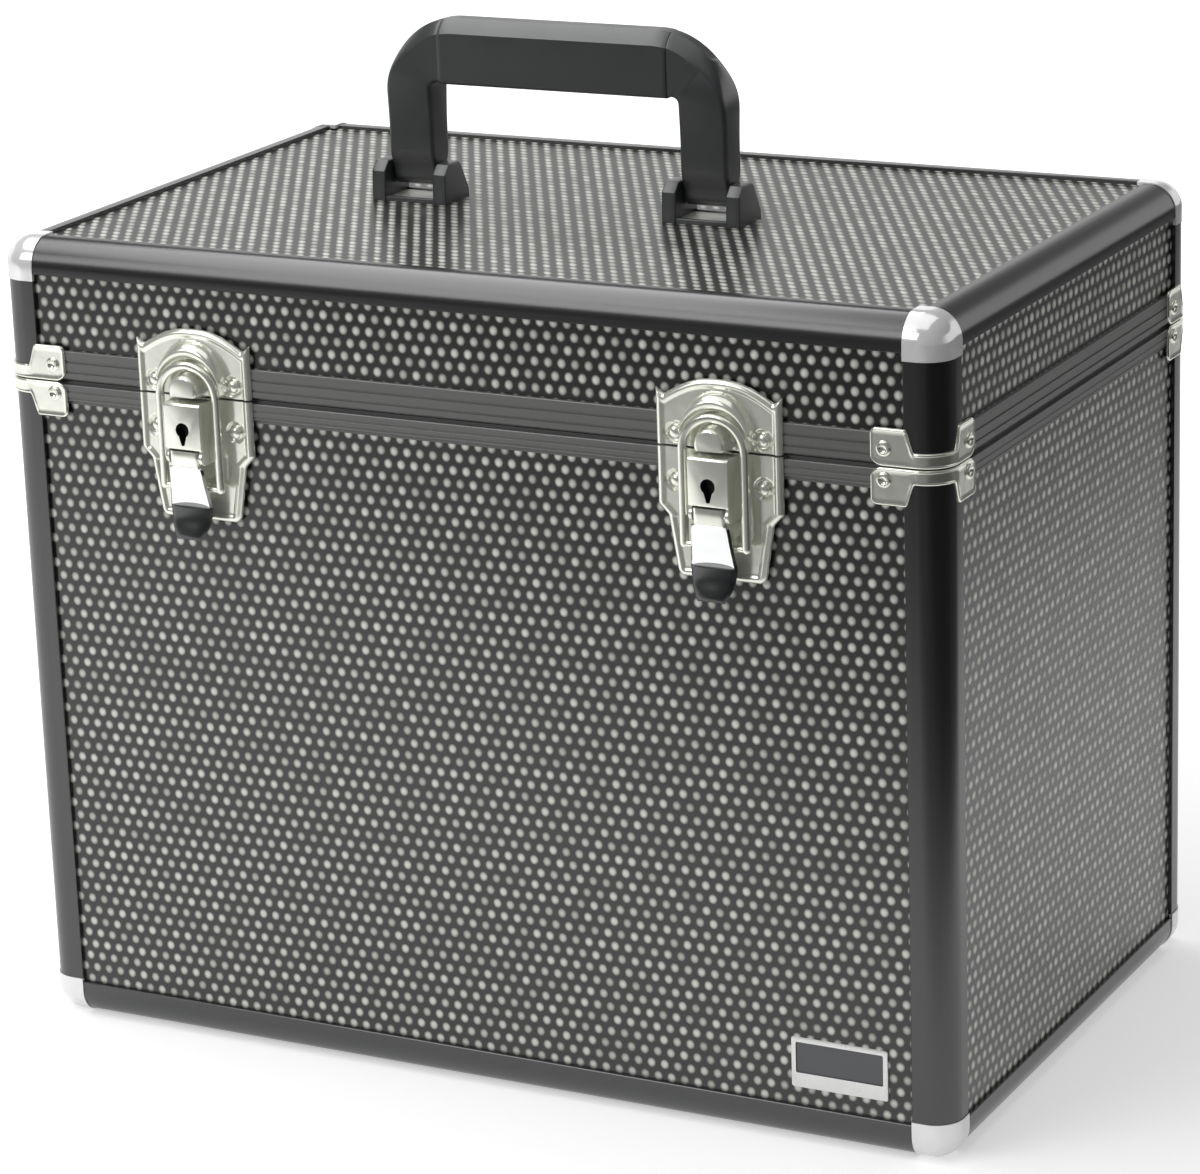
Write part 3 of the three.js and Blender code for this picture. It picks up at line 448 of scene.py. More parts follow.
def moulded_plastic(name, colour, roughness, grain_size, depth):
    """Injection-moulded plastic with a spark-eroded grain: dark, satin, slightly mottled by wear."""
    wear_size = 18 * MM
    material, tree = new_material(name)
    place = add_node(tree, "ShaderNodeTexCoord")
    grain = add_node(
        tree, "ShaderNodeTexNoise", None, {"Scale": 1 / grain_size, "Detail": 2.0, "Roughness": 0.6},
        {"Vector": (place, "Object")})
    wear = add_node(
        tree, "ShaderNodeTexNoise", None, {"Scale": 1 / wear_size, "Detail": 3.0},
        {"Vector": (place, "Object")})
    tone = add_node(
        tree, "ShaderNodeMix", {"data_type": "RGBA"},
        {6: rgba(colour, 0.85), 7: rgba(colour, 1.25)}, {"Factor": (wear, "Fac")})
    rough = add_node(
        tree, "ShaderNodeMapRange", None, {"To Min": roughness - 0.06, "To Max": roughness + 0.08},
        {"Value": (wear, "Fac")})
    bump = add_node(
        tree, "ShaderNodeBump", None, {"Strength": 0.5, "Distance": depth}, {"Height": (grain, "Fac")})
    shader = add_node(
        tree, "ShaderNodeBsdfPrincipled", None, {"IOR": 1.75},
        {"Base Color": (tone, 2), "Roughness": (rough, 0), "Normal": (bump, 0)})
    add_node(tree, "ShaderNodeOutputMaterial", links={"Surface": (shader, 0)})
    return material


def needled_felt(name, colour):
    """Needled polyester felt: matt, with a short nap that lightens at low angles."""
    # Fibres are 0.02 mm thick; the tufts are drawn coarser so that they show
    tuft_size = 0.8 * MM
    material, tree = new_material(name)
    place = add_node(tree, "ShaderNodeTexCoord")
    nap = add_node(
        tree, "ShaderNodeTexNoise", None, {"Scale": 1 / tuft_size, "Detail": 4.0, "Roughness": 0.7},
        {"Vector": (place, "Object")})
    tone = add_node(
        tree, "ShaderNodeMix", {"data_type": "RGBA"},
        {6: rgba(colour, 0.6), 7: rgba(colour, 1.6)}, {"Factor": (nap, "Fac")})
    bump = add_node(
        tree, "ShaderNodeBump", None, {"Strength": 0.7, "Distance": 0.4 * MM}, {"Height": (nap, "Fac")})
    shader = add_node(
        tree, "ShaderNodeBsdfPrincipled", None,
        {"Roughness": 0.95, "Specular IOR Level": 0.2, "Sheen Weight": 0.25, "Sheen Roughness": 0.5},
        {"Base Color": (tone, 2), "Normal": (bump, 0)})
    add_node(tree, "ShaderNodeOutputMaterial", links={"Surface": (shader, 0)})
    return material


def finish_of(name):
    """The material of that name, made at its first use."""
    found = bpy.data.materials.get(name)
    if found:
        return found
    colours = bpy.context.scene.vanity_finishes
    upright_shift, flat_shift = (0.13, 0.36), (0.13, 0.2)
    front_dot, side_dot, top_dot = (1.38 * MM, 1.5 * MM), (1.6 * MM, 1.5 * MM), (1.4 * MM, 2.05 * MM)
    makers = {
        "laminate_front": lambda: dotted_laminate(name, "XZ", upright_shift, front_dot, 0.4, 0.24),
        "laminate_side": lambda: dotted_laminate(name, "YZ", (0.0, 0.36), side_dot, 0.5, 0.24),
        "laminate_top": lambda: dotted_laminate(name, "XY", flat_shift, top_dot, 0.4, 0.34, 0.55),
        "anodised_black_x": lambda: anodised_extrusion(name, colours.anodised, "X", 0.22),
        "anodised_black_y": lambda: anodised_extrusion(name, colours.anodised, "Y", 0.22),
        "anodised_black_z": lambda: anodised_extrusion(name, colours.anodised, "Z", 0.22),
        "anodised_grey": lambda: anodised_extrusion(name, colours.rim, "X", 0.36),
        "chrome_plated_steel": lambda: plated_steel(name, colours.chrome, 0.18, 0.16, 0.85),
        "satin_nickel_latch": lambda: plated_steel(name, colours.chrome, 0.18, 0.16, 0.7),
        "bright_chrome_steel": lambda: plated_steel(name, colours.bright_chrome, 0.07, 0.12, 1.0),
        "nickel_silver_cap": lambda: plated_steel(name, linear("f4f4f4"), 0.12, 0.12, 0.4),
        "zinc_plated_strap": lambda: plated_steel(name, linear("c4c5bf"), 0.42, 0.1, 0.4),
        "satin_silver_plate": lambda: plated_steel(name, linear("f0f0ef"), 0.25, 0.05, 0.35),
        "moulded_black_plastic": lambda: moulded_plastic(
            name, colours.plastic, 0.3, 0.45 * MM, 0.04 * MM),
        # A black plastic tip, drawn dark also to stand in for the dark reflection the plated tip shows:
        # partly painted reflection
        "black_tip_and_painted_reflection": lambda: moulded_plastic(
            name, linear("1e2021"), 0.26, 2.5 * MM, 0.02 * MM),
        # Near black on the keyhole's cut walls: painted shade inside the hole
        "keyhole_painted_shade": lambda: moulded_plastic(name, linear("0b0b0b"), 0.6, 0.5 * MM, 0.1 * MM),
        "enamelled_field": lambda: moulded_plastic(name, linear("3a3c40"), 0.3, 1.2 * MM, 0.01 * MM),
        "needled_felt": lambda: needled_felt(name, colours.felt),
    }
    return makers[name]()


# Shells: closed meshes as (points, faces)


def loft(rings, closed=False):
    """Faces through rings of equally many points; open ends are closed with a face."""
    count = len(rings[0])
    points = [Vector(p) for ring in rings for p in ring]
    faces = []
    for ring in range(len(rings) if closed else len(rings) - 1):
        here, there = ring * count, (ring + 1) % len(rings) * count
        for i in range(count):
            after = (i + 1) % count
            faces.append((here + i, here + after, there + after, there + i))
    if not closed:
        faces += [tuple(reversed(range(count))), tuple(range(len(points) - count, len(points)))]
    return points, faces


def prism(outline, low, high, place):
    """A flat outline drawn out between two levels, put in place by place(u, v, w)."""
    return loft([[place(u, v, level) for u, v in outline] for level in (low, high)])


def oblong(low_u, low_v, high_u, high_v, radius=0.0):
    """The outline of an upright rectangle with rounded corners."""
    return [(low_u, low_v, radius), (high_u, low_v, radius), (high_u, high_v, radius),
            (low_u, high_v, radius)]


def turned_form(profile, centre, axis, steps):
    """A round form from (radius, height) points along an axis; its ends lie on the axis."""
    axis = Vector(axis).normalized()
    side = axis.orthogonal().normalized()
    other = axis.cross(side)
    rings = []
    for radius, height in profile:
        middle = Vector(centre) + axis * height
        rings.append([
            middle + (side * math.cos(a) + other * math.sin(a)) * max(radius, 1e-6)
            for a in (2 * math.pi * i / steps for i in range(steps))])
    return loft(rings)


def rod(radius, length, start, axis, steps, chamfer=0.0):
    """A round bar from its start along an axis, with chamfered ends if that is given."""
    profile = [(0, 0), (radius - chamfer, 0), (radius - chamfer, length), (0, length)]
    if chamfer:
        profile[2:2] = [(radius, chamfer), (radius, length - chamfer)]
    return turned_form(profile, start, axis, steps)


def arc(centre, radius, start, end, steps):
    """Points of an arc, angles in degrees."""
    angles = [math.radians(start + (end - start) * i / steps) for i in range(steps + 1)]
    return [(centre[0] + radius * math.cos(a), centre[1] + radius * math.sin(a)) for a in angles]


def rounded(points, steps=5):
    """An outline from (x, y) or (x, y, radius) points, where a radius rounds that corner."""
    outline = []
    count = len(points)
    for i, point in enumerate(points):
        corner = Vector(point[:2])
        if len(point) < 3 or point[2] <= 0:
            outline.append(tuple(corner))
            continue
        before = (Vector(points[i - 1][:2]) - corner).normalized()
        after = (Vector(points[(i + 1) % count][:2]) - corner).normalized()
        half = before.angle(after) / 2
        reach = point[2] / math.tan(half)
        middle = corner + (before + after).normalized() * (point[2] / math.sin(half))
        start = corner + before * reach - middle
        turn = start.angle_signed(corner + after * reach - middle)
        for step in range(steps + 1):
            angle = -turn * step / steps
            outline.append((
                middle.x + start.x * math.cos(angle) - start.y * math.sin(angle),
                middle.y + start.x * math.sin(angle) + start.y * math.cos(angle)))
    return outline


def eased(value, start, end):
    """From 0 at start to 1 at end, level at both."""
    share = min(1.0, max(0.0, (value - start) / (end - start)))
    return share * share * (3 - 2 * share)


def rounded_off(left, radius):
    """How far a round corner has drawn in, where so much is left to its end."""
    if left >= radius:
        return 0.0
    return radius - math.sqrt(max(0.0, radius ** 2 - (radius - left) ** 2))


def graded(low, high, low_roll, high_roll, roll, count):
    """Places from low to high, close together where an edge is rolled."""
    fine = [roll * share for share in (0, 0.06, 0.15, 0.28, 0.43, 0.6, 0.78, 1.0)]
    start = [low + step for step in fine] if low_roll else [low]
    end = [high - step for step in reversed(fine)] if high_roll else [high]
    first, last = start[-1], end[0]
    return start + [first + (last - first) * i / count for i in range(1, count)] + end


def rolled(distance, edge, level, bead, roll):
    """Height of a sheet with a rolled edge: up from the edge, over a bead and down to level."""
    share = min(1.0, distance / roll)
    # The bead's crest lies past the middle of the roll
    crest = 0.6
    if share < crest:
        return edge + (level + bead - edge) * math.sqrt(max(0.0, 1 - (1 - share / crest) ** 2))
    fall = (share - crest) / (1 - crest)
    return level + bead * (1 - fall * fall * (3 - 2 * fall))


def grid_sheet(columns, back, place):
    """A sheet from columns of (across, up, reach) points, closed by a flat back."""
    count = len(columns[0])
    front = [place(x, reach, z) for column in columns for x, z, reach in column]
    rear = [place(x, back, z) for column in columns for x, z, reach in column]
    total = len(front)
    faces = []
    for c in range(len(columns) - 1):
        for r in range(count - 1):
            a = c * count + r
            faces.append((a, a + 1, a + count + 1, a + count))
            faces.append((total + a, total + a + count, total + a + count + 1, total + a + 1))
    rim = [c * count for c in range(len(columns))]
    rim += [(len(columns) - 1) * count + r for r in range(1, count)]
    rim += [c * count + count - 1 for c in range(len(columns) - 2, -1, -1)]
    rim += range(count - 2, 0, -1)
    for a, b in zip(rim, rim[1:] + rim[:1]):
        faces.append((a, b, total + b, total + a))
    return front + rear, faces


def mesh_of(work):
    """The points and faces of a bmesh, which is freed."""
    work.verts.index_update()
    points = [v.co.copy() for v in work.verts]
    faces = [tuple(v.index for v in f.verts) for f in work.faces]
    work.free()
    return points, faces


def bevelled(shell, width, steps=2):
    """The same shell with its sharp edges rounded."""
    work = bmesh.new()
    made = [work.verts.new(p) for p in shell[0]]
    for face in shell[1]:
        work.faces.new([made[i] for i in face])
    bmesh.ops.recalc_face_normals(work, faces=work.faces)
    sharp = [e for e in work.edges if e.is_manifold and e.calc_face_angle(0) > math.radians(40)]
    bmesh.ops.bevel(
        work, geom=sharp, offset=width, offset_type="OFFSET", segments=steps, profile=0.5,
        affect="EDGES", clamp_overlap=True)
    return mesh_of(work)


def make_piece(name, shells, finish, body, stands_for=(), smooth=SMOOTH_UP_TO):
    """One object from closed shells, smooth shaded but at its sharp edges, riding on its body."""
    work = bmesh.new()
    for points, faces in shells:
        made = [work.verts.new(p) for p in points]
        for face in faces:
            work.faces.new([made[i] for i in face])
    bmesh.ops.dissolve_degenerate(work, dist=1e-7, edges=work.edges)
    bmesh.ops.recalc_face_normals(work, faces=work.faces)
    mesh = bpy.data.meshes.new(name)
    work.to_mesh(mesh)
    work.free()
    mesh.shade_smooth()
    mesh.set_sharp_from_angle(angle=math.radians(smooth))
    piece = bpy.data.objects.new(name, mesh)
    bpy.context.scene.collection.objects.link(piece)
    mesh.materials.append(finish_of(finish))
    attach(piece, body)
    if stands_for:
        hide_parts(*stands_for)
    return piece


def cut_out(piece, cutter_shells, finish):
    """Cuts closed shells out of a piece; the cut faces take their own finish."""
    cutter = make_piece(piece.name + "_cutter", cutter_shells, finish, piece["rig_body"])
    piece.data.materials.append(finish_of(finish))
    modifier = piece.modifiers.new("cut", "BOOLEAN")
    modifier.operation = "DIFFERENCE"
    modifier.solver = "EXACT"
    modifier.material_mode = "TRANSFER"
    modifier.object = cutter
    evaluated = piece.evaluated_get(bpy.context.evaluated_depsgraph_get())
    mesh = bpy.data.meshes.new_from_object(evaluated)
    piece.modifiers.clear()
    piece.data = mesh
    mesh.shade_smooth()
    mesh.set_sharp_from_angle(angle=math.radians(SMOOTH_UP_TO))
    bpy.data.objects.remove(cutter)


# Places on the case


def at_corner(corner):
    """place(u, v, z): u and v are insets from the corner's two outer faces."""
    sx, sy = CORNERS[corner]
    x = case_high.x if sx > 0 else case_low.x
    y = case_high.y if sy > 0 else case_low.y
    return lambda u, v, z: Vector((x - sx * u, y - sy * v, z))


def at_side(side, level, up):
    """place(u, v, a): u inset from the side's face, v from the floor or top, a along the side."""
    face, sign = {"front": (case_low.y, 1), "back": (case_high.y, -1),
                  "left": (case_low.x, 1), "right": (case_high.x, -1)}[side]
    if side in ("left", "right"):
        return lambda u, v, a: Vector((face + sign * u, a, level + up * v))
    return lambda u, v, a: Vector((a, face + sign * u, level + up * v))


def edge_section(leg):
    """Section of an extrusion: an outer skin, two slots for the panels, and inner legs."""
    sizes = bpy.context.scene.vanity_case
    radius, skin, arris = sizes.edge_radius, sizes.skin, sizes.arris
    slot_end = radius - 0.3 * MM
    leg_front = skin + sizes.slot
    # The inner legs stay just off the rims' legs, which lie in the same plane
    leg_back = leg_front + sizes.inner_skin - 0.15 * MM
    outline = [(leg - arris, 0), (leg, arris), (leg, skin), (slot_end, skin), (slot_end, leg_front),
               (leg, leg_front), (leg, leg_back), (leg_back, leg_back), (leg_back, leg),
               (leg_front, leg), (leg_front, slot_end), (skin, slot_end), (skin, leg), (arris, leg),
               (0, leg - arris)]
    return outline + arc((radius, radius), radius, 180, 270, sizes.round_steps)


class PanelsOperator(bpy.types.Operator):
    """Gives the ten panels their dotted laminate"""

    bl_idname = "vanity.panels"
    bl_label = "Panels"

    faces = {"top": "laminate_top", "bottom": "laminate_top", "front": "laminate_front",
             "back": "laminate_front", "left": "laminate_side", "right": "laminate_side"}

    def execute(self, context):
        for name, node in frame["nodes"].items():
            if not name.endswith("_panel"):
                continue
            side = name.split("_")[1]
            node.data.materials.clear()
            node.data.materials.append(finish_of(self.faces[side]))
        return {"FINISHED"}


class ExtrusionsOperator(bpy.types.Operator):
    """Builds the posts, floor edges and lid edges"""

    bl_idname = "vanity.extrusions"
    bl_label = "Edges and posts"

    def execute(self, context):
        sizes = context.scene.vanity_case
        post_gap = 0.75 * MM
        for body, prefix in (("case", "body"), ("lid", "lid")):
            for corner in CORNERS:
                node = f"{prefix}_post_{corner}"
                low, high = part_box(node)
                ends = (low.z, parting - post_gap) if body == "case" else (parting + post_gap, high.z)
                shell = prism(edge_section(sizes.post_leg), *ends, at_corner(corner))
                make_piece(
                    f"post_{prefix}_{corner}", [shell], "anodised_black_z", body, [node])
        bars = (("case", "floor_edge", sizes.floor_leg, floor_level, 1),
                ("lid", "lid_edge", sizes.lid_leg, case_top, -1))
        for body, prefix, leg, level, up in bars:
            for side in SIDES:
                node = f"{prefix}_{side}"
                low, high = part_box(node)
                along_x = side in ("front", "back")
                ends = (low.x, high.x) if along_x else (low.y, high.y)
                shell = prism(edge_section(leg), *ends, at_side(side, level, up))
                finish = "anodised_black_x" if along_x else "anodised_black_y"
                make_piece(f"bar_{prefix}_{side}", [shell], finish, body, [node])
        return {"FINISHED"}


class RimsOperator(bpy.types.Operator):
    """Builds the two rims on the parting line"""

    bl_idname = "vanity.rims"
    bl_label = "Rims"

    half_gap = 0.15 * MM
    groove, half_groove = 2.25 * MM, 1.1 * MM
    # The body's rim has a lip inside, and the lid's rim closes over it
    lip, lip_rise, lip_space = 2 * MM, 2.4 * MM, 0.3 * MM
    leg_reach = 2 * MM
    rib = 0.45 * MM

    def section_round_case(self, section):
        """A section swept round the case, which goes behind the posts at the corners."""
        sizes = bpy.context.scene.vanity_case
        radius, steps, skin = sizes.edge_radius, sizes.round_steps, sizes.skin
        behind = [(max(inset, skin), height) for inset, height in section]
        rings = []
        for corner, start in zip(CORNERS, (180, 270, 0, 90)):
            middle = at_corner(corner)(radius, radius, 0)
            stand_off = sizes.post_leg - radius
            stations = [(start, -stand_off, section), (start, -stand_off, behind)]
            stations += [(start + 90 * step / steps, 0.0, behind) for step in range(steps + 1)]
            stations += [(start + 90, stand_off, behind), (start + 90, stand_off, section)]
            for degrees, along, outline in stations:
                angle = math.radians(degrees)
                out = Vector((math.cos(angle), math.sin(angle), 0))
                foot = middle + Vector((-out.y, out.x, 0)) * along
                rings.append([
                    foot + out * (radius - inset) + Vector((0, 0, height))
                    for inset, height in outline])
        return loft(rings, closed=True)

    def ribs(self, low, high, shares, depth, crest):
        """Grooves drawn along the outer face, at shares of its height."""
        points = []
        for share in shares:
            middle = low + share * (high - low)
            points += [(0, middle - self.rib), (depth, middle - self.rib * crest),
                       (depth, middle + self.rib * crest), (0, middle + self.rib)]
        return points

    def execute(self, context):
        sizes = context.scene.vanity_case
        skin, arris = sizes.skin, sizes.arris
        leg_front = skin + sizes.slot
        leg_back = leg_front + sizes.inner_skin
        undercut, undercut_rise = 1.2 * MM, 1.3 * MM
        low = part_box("body_rim")[0].z
        top = parting - self.half_gap
        lip_top = top + self.lip_rise
        slot_top = top - self.leg_reach
        shoulder = parting - self.half_groove
        body = [
            (0, low + undercut_rise + arris), *self.ribs(low, shoulder, (0.3, 0.62), 0.28 * MM, 0.5),
            (0, shoulder - arris), (arris, shoulder), (self.groove, shoulder), (self.groove, top),
            (leg_back - self.lip, top), (leg_back - self.lip, lip_top), (leg_back, lip_top),
            (leg_back, low), (leg_front, low), (leg_front, slot_top), (skin, slot_top), (skin, low),
            (undercut, low), (undercut, low + undercut_rise), (arris, low + undercut_rise)]
        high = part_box("lid_rim")[1].z
        bottom = parting + self.half_gap
        shoulder = parting + self.half_groove
        roof = lip_top + 2 * self.half_gap
        slot_low = roof + self.leg_reach
        space = leg_back - self.lip - self.lip_space
        lid = [
            (skin, high), (skin, slot_low), (leg_front, slot_low), (leg_front, high), (leg_back, high),
            (leg_back, roof), (space, roof), (space, bottom), (self.groove, bottom),
            (self.groove, shoulder), (arris, shoulder), (0, shoulder + arris),
            *self.ribs(parting, high, (0.33, 0.66), 0.4 * MM, 0.6), (0, high - arris), (arris, high)]
        for name, section, rides_on, node in (
                ("rim_body", body, "case", "body_rim"), ("rim_lid", lid, "lid", "lid_rim")):
            shell = self.section_round_case(section)
            make_piece(name, [shell], "anodised_grey", rides_on, [node])
        return {"FINISHED"}


class CapsOperator(bpy.types.Operator):
    """Builds the eight ball-nosed corner caps"""

    bl_idname = "vanity.caps"
    bl_label = "Corner caps"

    def nose(self, reach, place_point):
        """A sheet cap over three faces that meet in a corner, with u, v, w as insets."""
        sizes = bpy.context.scene.vanity_case
        proud, wall, steps = sizes.cap_proud, sizes.cap_wall, sizes.round_steps
        radius = sizes.edge_radius + proud
        turn = [radius * (1 - math.cos(math.pi / 2 * i / steps)) for i in range(steps)]
        places = turn + [radius + (reach + proud - radius) * i / 3 for i in range(4)]
        last = len(places) - 1
        stand = Vector((proud, proud, proud))
        work = bmesh.new()

        def key_of(fixed, i, j):
            """A point's place on the three axes; it lies in the face of the fixed one."""
            key = [i, j]
            key.insert(fixed, 0)
            return tuple(key)

        def skin_point(key, depth):
            angles = [math.pi / 2 * min(i, steps) / steps for i in key]
            outward = Vector([math.cos(a) if i < steps else 0 for a, i in zip(angles, key)])
            centre = Vector([max(places[i], radius) for i in key])
            point = centre - outward.normalized() * (radius - depth) - stand
            return work.verts.new(place_point(*point))

        keys = dict.fromkeys(
            key_of(fixed, i, j) for fixed in range(3) for i in range(last + 1) for j in range(last + 1))
        outer = {key: skin_point(key, 0) for key in keys}
        inner = {key: skin_point(key, wall) for key in keys}
        for fixed in range(3):
            for i in range(last):
                for j in range(last):
                    corners = [key_of(fixed, i, j), key_of(fixed, i + 1, j),
                               key_of(fixed, i + 1, j + 1), key_of(fixed, i, j + 1)]
                    work.faces.new([outer[key] for key in corners])
                    work.faces.new([inner[key] for key in reversed(corners)])
        # The sheet's own edge, between its outside and its inside
        partner = {outer[key]: inner[key] for key in keys}
        borders = [e for e in work.edges if len(e.link_faces) == 1 and e.verts[0] in partner]
        for edge in borders:
            a, b = edge.verts
            work.faces.new([a, b, partner[b], partner[a]])
        return mesh_of(work)

    def execute(self, context):
        sizes = context.scene.vanity_case
        ends = (("case", "floor", floor_level, 1), ("lid", "lid", case_top, -1))
        for corner in CORNERS:
            place = at_corner(corner)
            for body, prefix, level, up in ends:
                # A floor cap's underside is flush with the edges, so the case stands on both
                lowest = -0.02 * MM if body == "case" else -sizes.cap_proud
                shell = self.nose(
                    sizes.post_leg, lambda u, v, w: place(u, v, level + up * max(w, lowest)))
                make_piece(f"cap_{prefix}_{corner}", [shell], "nickel_silver_cap", body,
                           [f"{prefix}_cap_{corner}"])
        return {"FINISHED"}


def rivet(place, x, z, reach, radius=1.95 * MM, height=0.95 * MM, dimple=0.0):
    """A round-headed rivet, with a dimple where it was set if that is given."""
    base = 0.5 * MM
    foot = place(x, reach - base, z)
    axis = place(x, reach + 1 * MM, z) - foot
    if dimple:
        head = ((radius * 0.97, 0.45), (radius * 0.88, 0.8), (radius * 0.76, 1.0),
                (dimple * 1.12, 0.96), (dimple, 0.7), (dimple * 0.8, 0.3), (dimple * 0.45, 0.1),
                (0, 0.05))
        crown = [(radius, base + 0.12 * MM)]
        crown += [(across, base + height * share) for across, share in head]
    else:
        edge = 0.1 * MM
        crown = [(radius * math.cos(a), base + edge + (height - edge) * math.sin(a))
                 for a in (math.pi / 2 * i / 8 for i in range(9))]
    return turned_form([(0, 0), (radius, 0), *crown], foot, axis, 28)


def shortened(height_of, place, step, limit):
    """How much shorter than upright the way to a slanting edge is, measured a step to each side."""
    slant = (height_of(place + step) - height_of(place - step)) / (2 * step)
    return 1 / math.sqrt(1 + min(limit, slant * slant))


class BracesOperator(bpy.types.Operator):
    """Builds the eight riveted waist braces"""

    bl_idname = "vanity.braces"
    bl_label = "Waist braces"

    # How far from the corner the ears start, on the front or back and on the side
    ear_starts = (13.9 * MM, 10.9 * MM)
    ear_width, ear_height = 12.4 * MM, 12.9 * MM
    strip_height, slope = 5.2 * MM, 3.4 * MM
    top_corner, foot_corner = 2.4 * MM, 4.2 * MM
    gap, edge, bead, roll = 0.2 * MM, 0.2 * MM, 0.12 * MM, 1.1 * MM

    def brace(self, corner, up):
        """A strip round the corner with an ear at each end, and its two rivets."""
        sizes = bpy.context.scene.vanity_case
        radius, sheet = sizes.edge_radius, sizes.brace_sheet
        level = parting + up * self.gap
        corner_place = at_corner(corner)
        half_turn = radius * math.pi / 4

        def place(a, reach, z):
            """a runs along the outside, from the front ear (negative) to the side ear (positive)."""
            height = level + up * z
            if a < -half_turn:
                return corner_place(radius - a - half_turn, -reach, height)
            if a > half_turn:
                return corner_place(-reach, radius + a - half_turn, height)
            angle = (a + half_turn) / radius
            out = radius + reach
            return corner_place(radius - out * math.sin(angle), radius - out * math.cos(angle), height)

        def ear_at(a):
            """How far from the corner that side's ear starts, and how far the place is."""
            start = self.ear_starts[0] if a < 0 else self.ear_starts[1]
            return start, abs(a) - half_turn + radius

        def top_of(a):
            start, inset = ear_at(a)
            if inset < start:
                rise = self.ear_height - self.strip_height
                return self.strip_height + rise * eased(inset, start - self.slope, start)
            return self.ear_height - rounded_off(start + self.ear_width - inset, self.top_corner)

        def foot_of(a):
            start, inset = ear_at(a)
            return rounded_off(start + self.ear_width - inset, self.foot_corner)

        ends = [start + self.ear_width - radius + half_turn for start in self.ear_starts]
        columns = []
        for a in graded(-ends[0], ends[1], True, True, self.roll, 96):
            foot, top = foot_of(a), top_of(a)
            side_gap = min(a + ends[0], ends[1] - a)
            share = shortened(top_of, a, 0.2 * MM, 9.0)
            column = []
            roll = min(self.roll, (top - foot) / 2.2)
            for z in graded(foot, max(top, foot + 0.05 * MM), True, True, roll, 8):
                distance = min(side_gap, (top - z) * share, z - foot)
                column.append((a, z, rolled(distance, self.edge, sheet, self.bead, self.roll)))
            columns.append(column)
        rivet_rise = 6 * MM if up > 0 else 4.2 * MM
        rivet_places = (5 * MM - ends[0], ends[1] - 5 * MM)
        return [grid_sheet(columns, 0.0, place), *(
            rivet(place, a, rivet_rise, sheet, 2.7 * MM, 0.9 * MM, 1.5 * MM) for a in rivet_places)]

    def execute(self, context):
        for corner in CORNERS:
            for body, prefix, up in (("lid", "lid", 1), ("case", "body", -1)):
                make_piece(f"brace_{prefix}_{corner}", self.brace(corner, up), "chrome_plated_steel",
                           body, [f"{prefix}_brace_{corner}"])
        return {"FINISHED"}


# Latches, round x = 0 on the front plane and z = 0 on the parting line


def at_latch(hand):
    """place(x, reach, z) of one latch."""
    low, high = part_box(f"latch_base_{hand}")
    middle = (low.x + high.x) / 2
    return lambda x, reach, z: Vector((middle + x, front_plane - reach, parting + z))


# Heights of the middle of the bail's arch and its hood, of the keyhole and of the hook
ARCH_CENTRE = 0.6 * MM
KEYHOLE = -10.2 * MM
HOOK_CENTRE = 3.4 * MM
# Reach and height of the lever's axle, and of the bail's pins on the lever's ears
AXLE = (7.9 * MM, -20.3 * MM)
BAIL_PINS = (5.5 * MM, -32 * MM)
# Half the lever's width at its axle, and between its ears
LEVER_HALF, LEVER_INSIDE = 5.85 * MM, 4.65 * MM
# How far the base plate reaches down
PLATE_DROP = 45 * MM
KEEPER_RIVETS = ((-16 * MM, 4.8 * MM), (16 * MM, 4.8 * MM))
BASE_RIVETS = ((-16 * MM, -11.8 * MM), (16 * MM, -11.8 * MM))
# Width of the plates' rolled edge, and the height of its outer rim
PLATE_ROLL, PLATE_EDGE = 3.1 * MM, 0.3 * MM


def sunk_ring(x, z, rivets):
    """Depth of the pressed ring round a rivet."""
    radius, half_width, depth = 2.7 * MM, 1.0 * MM, 1.0 * MM
    for rivet_x, rivet_z in rivets:
        across = (math.hypot(x - rivet_x, z - rivet_z) - radius) / half_width
        if abs(across) < 1:
            return depth * (1 - across * across)
    return 0.0


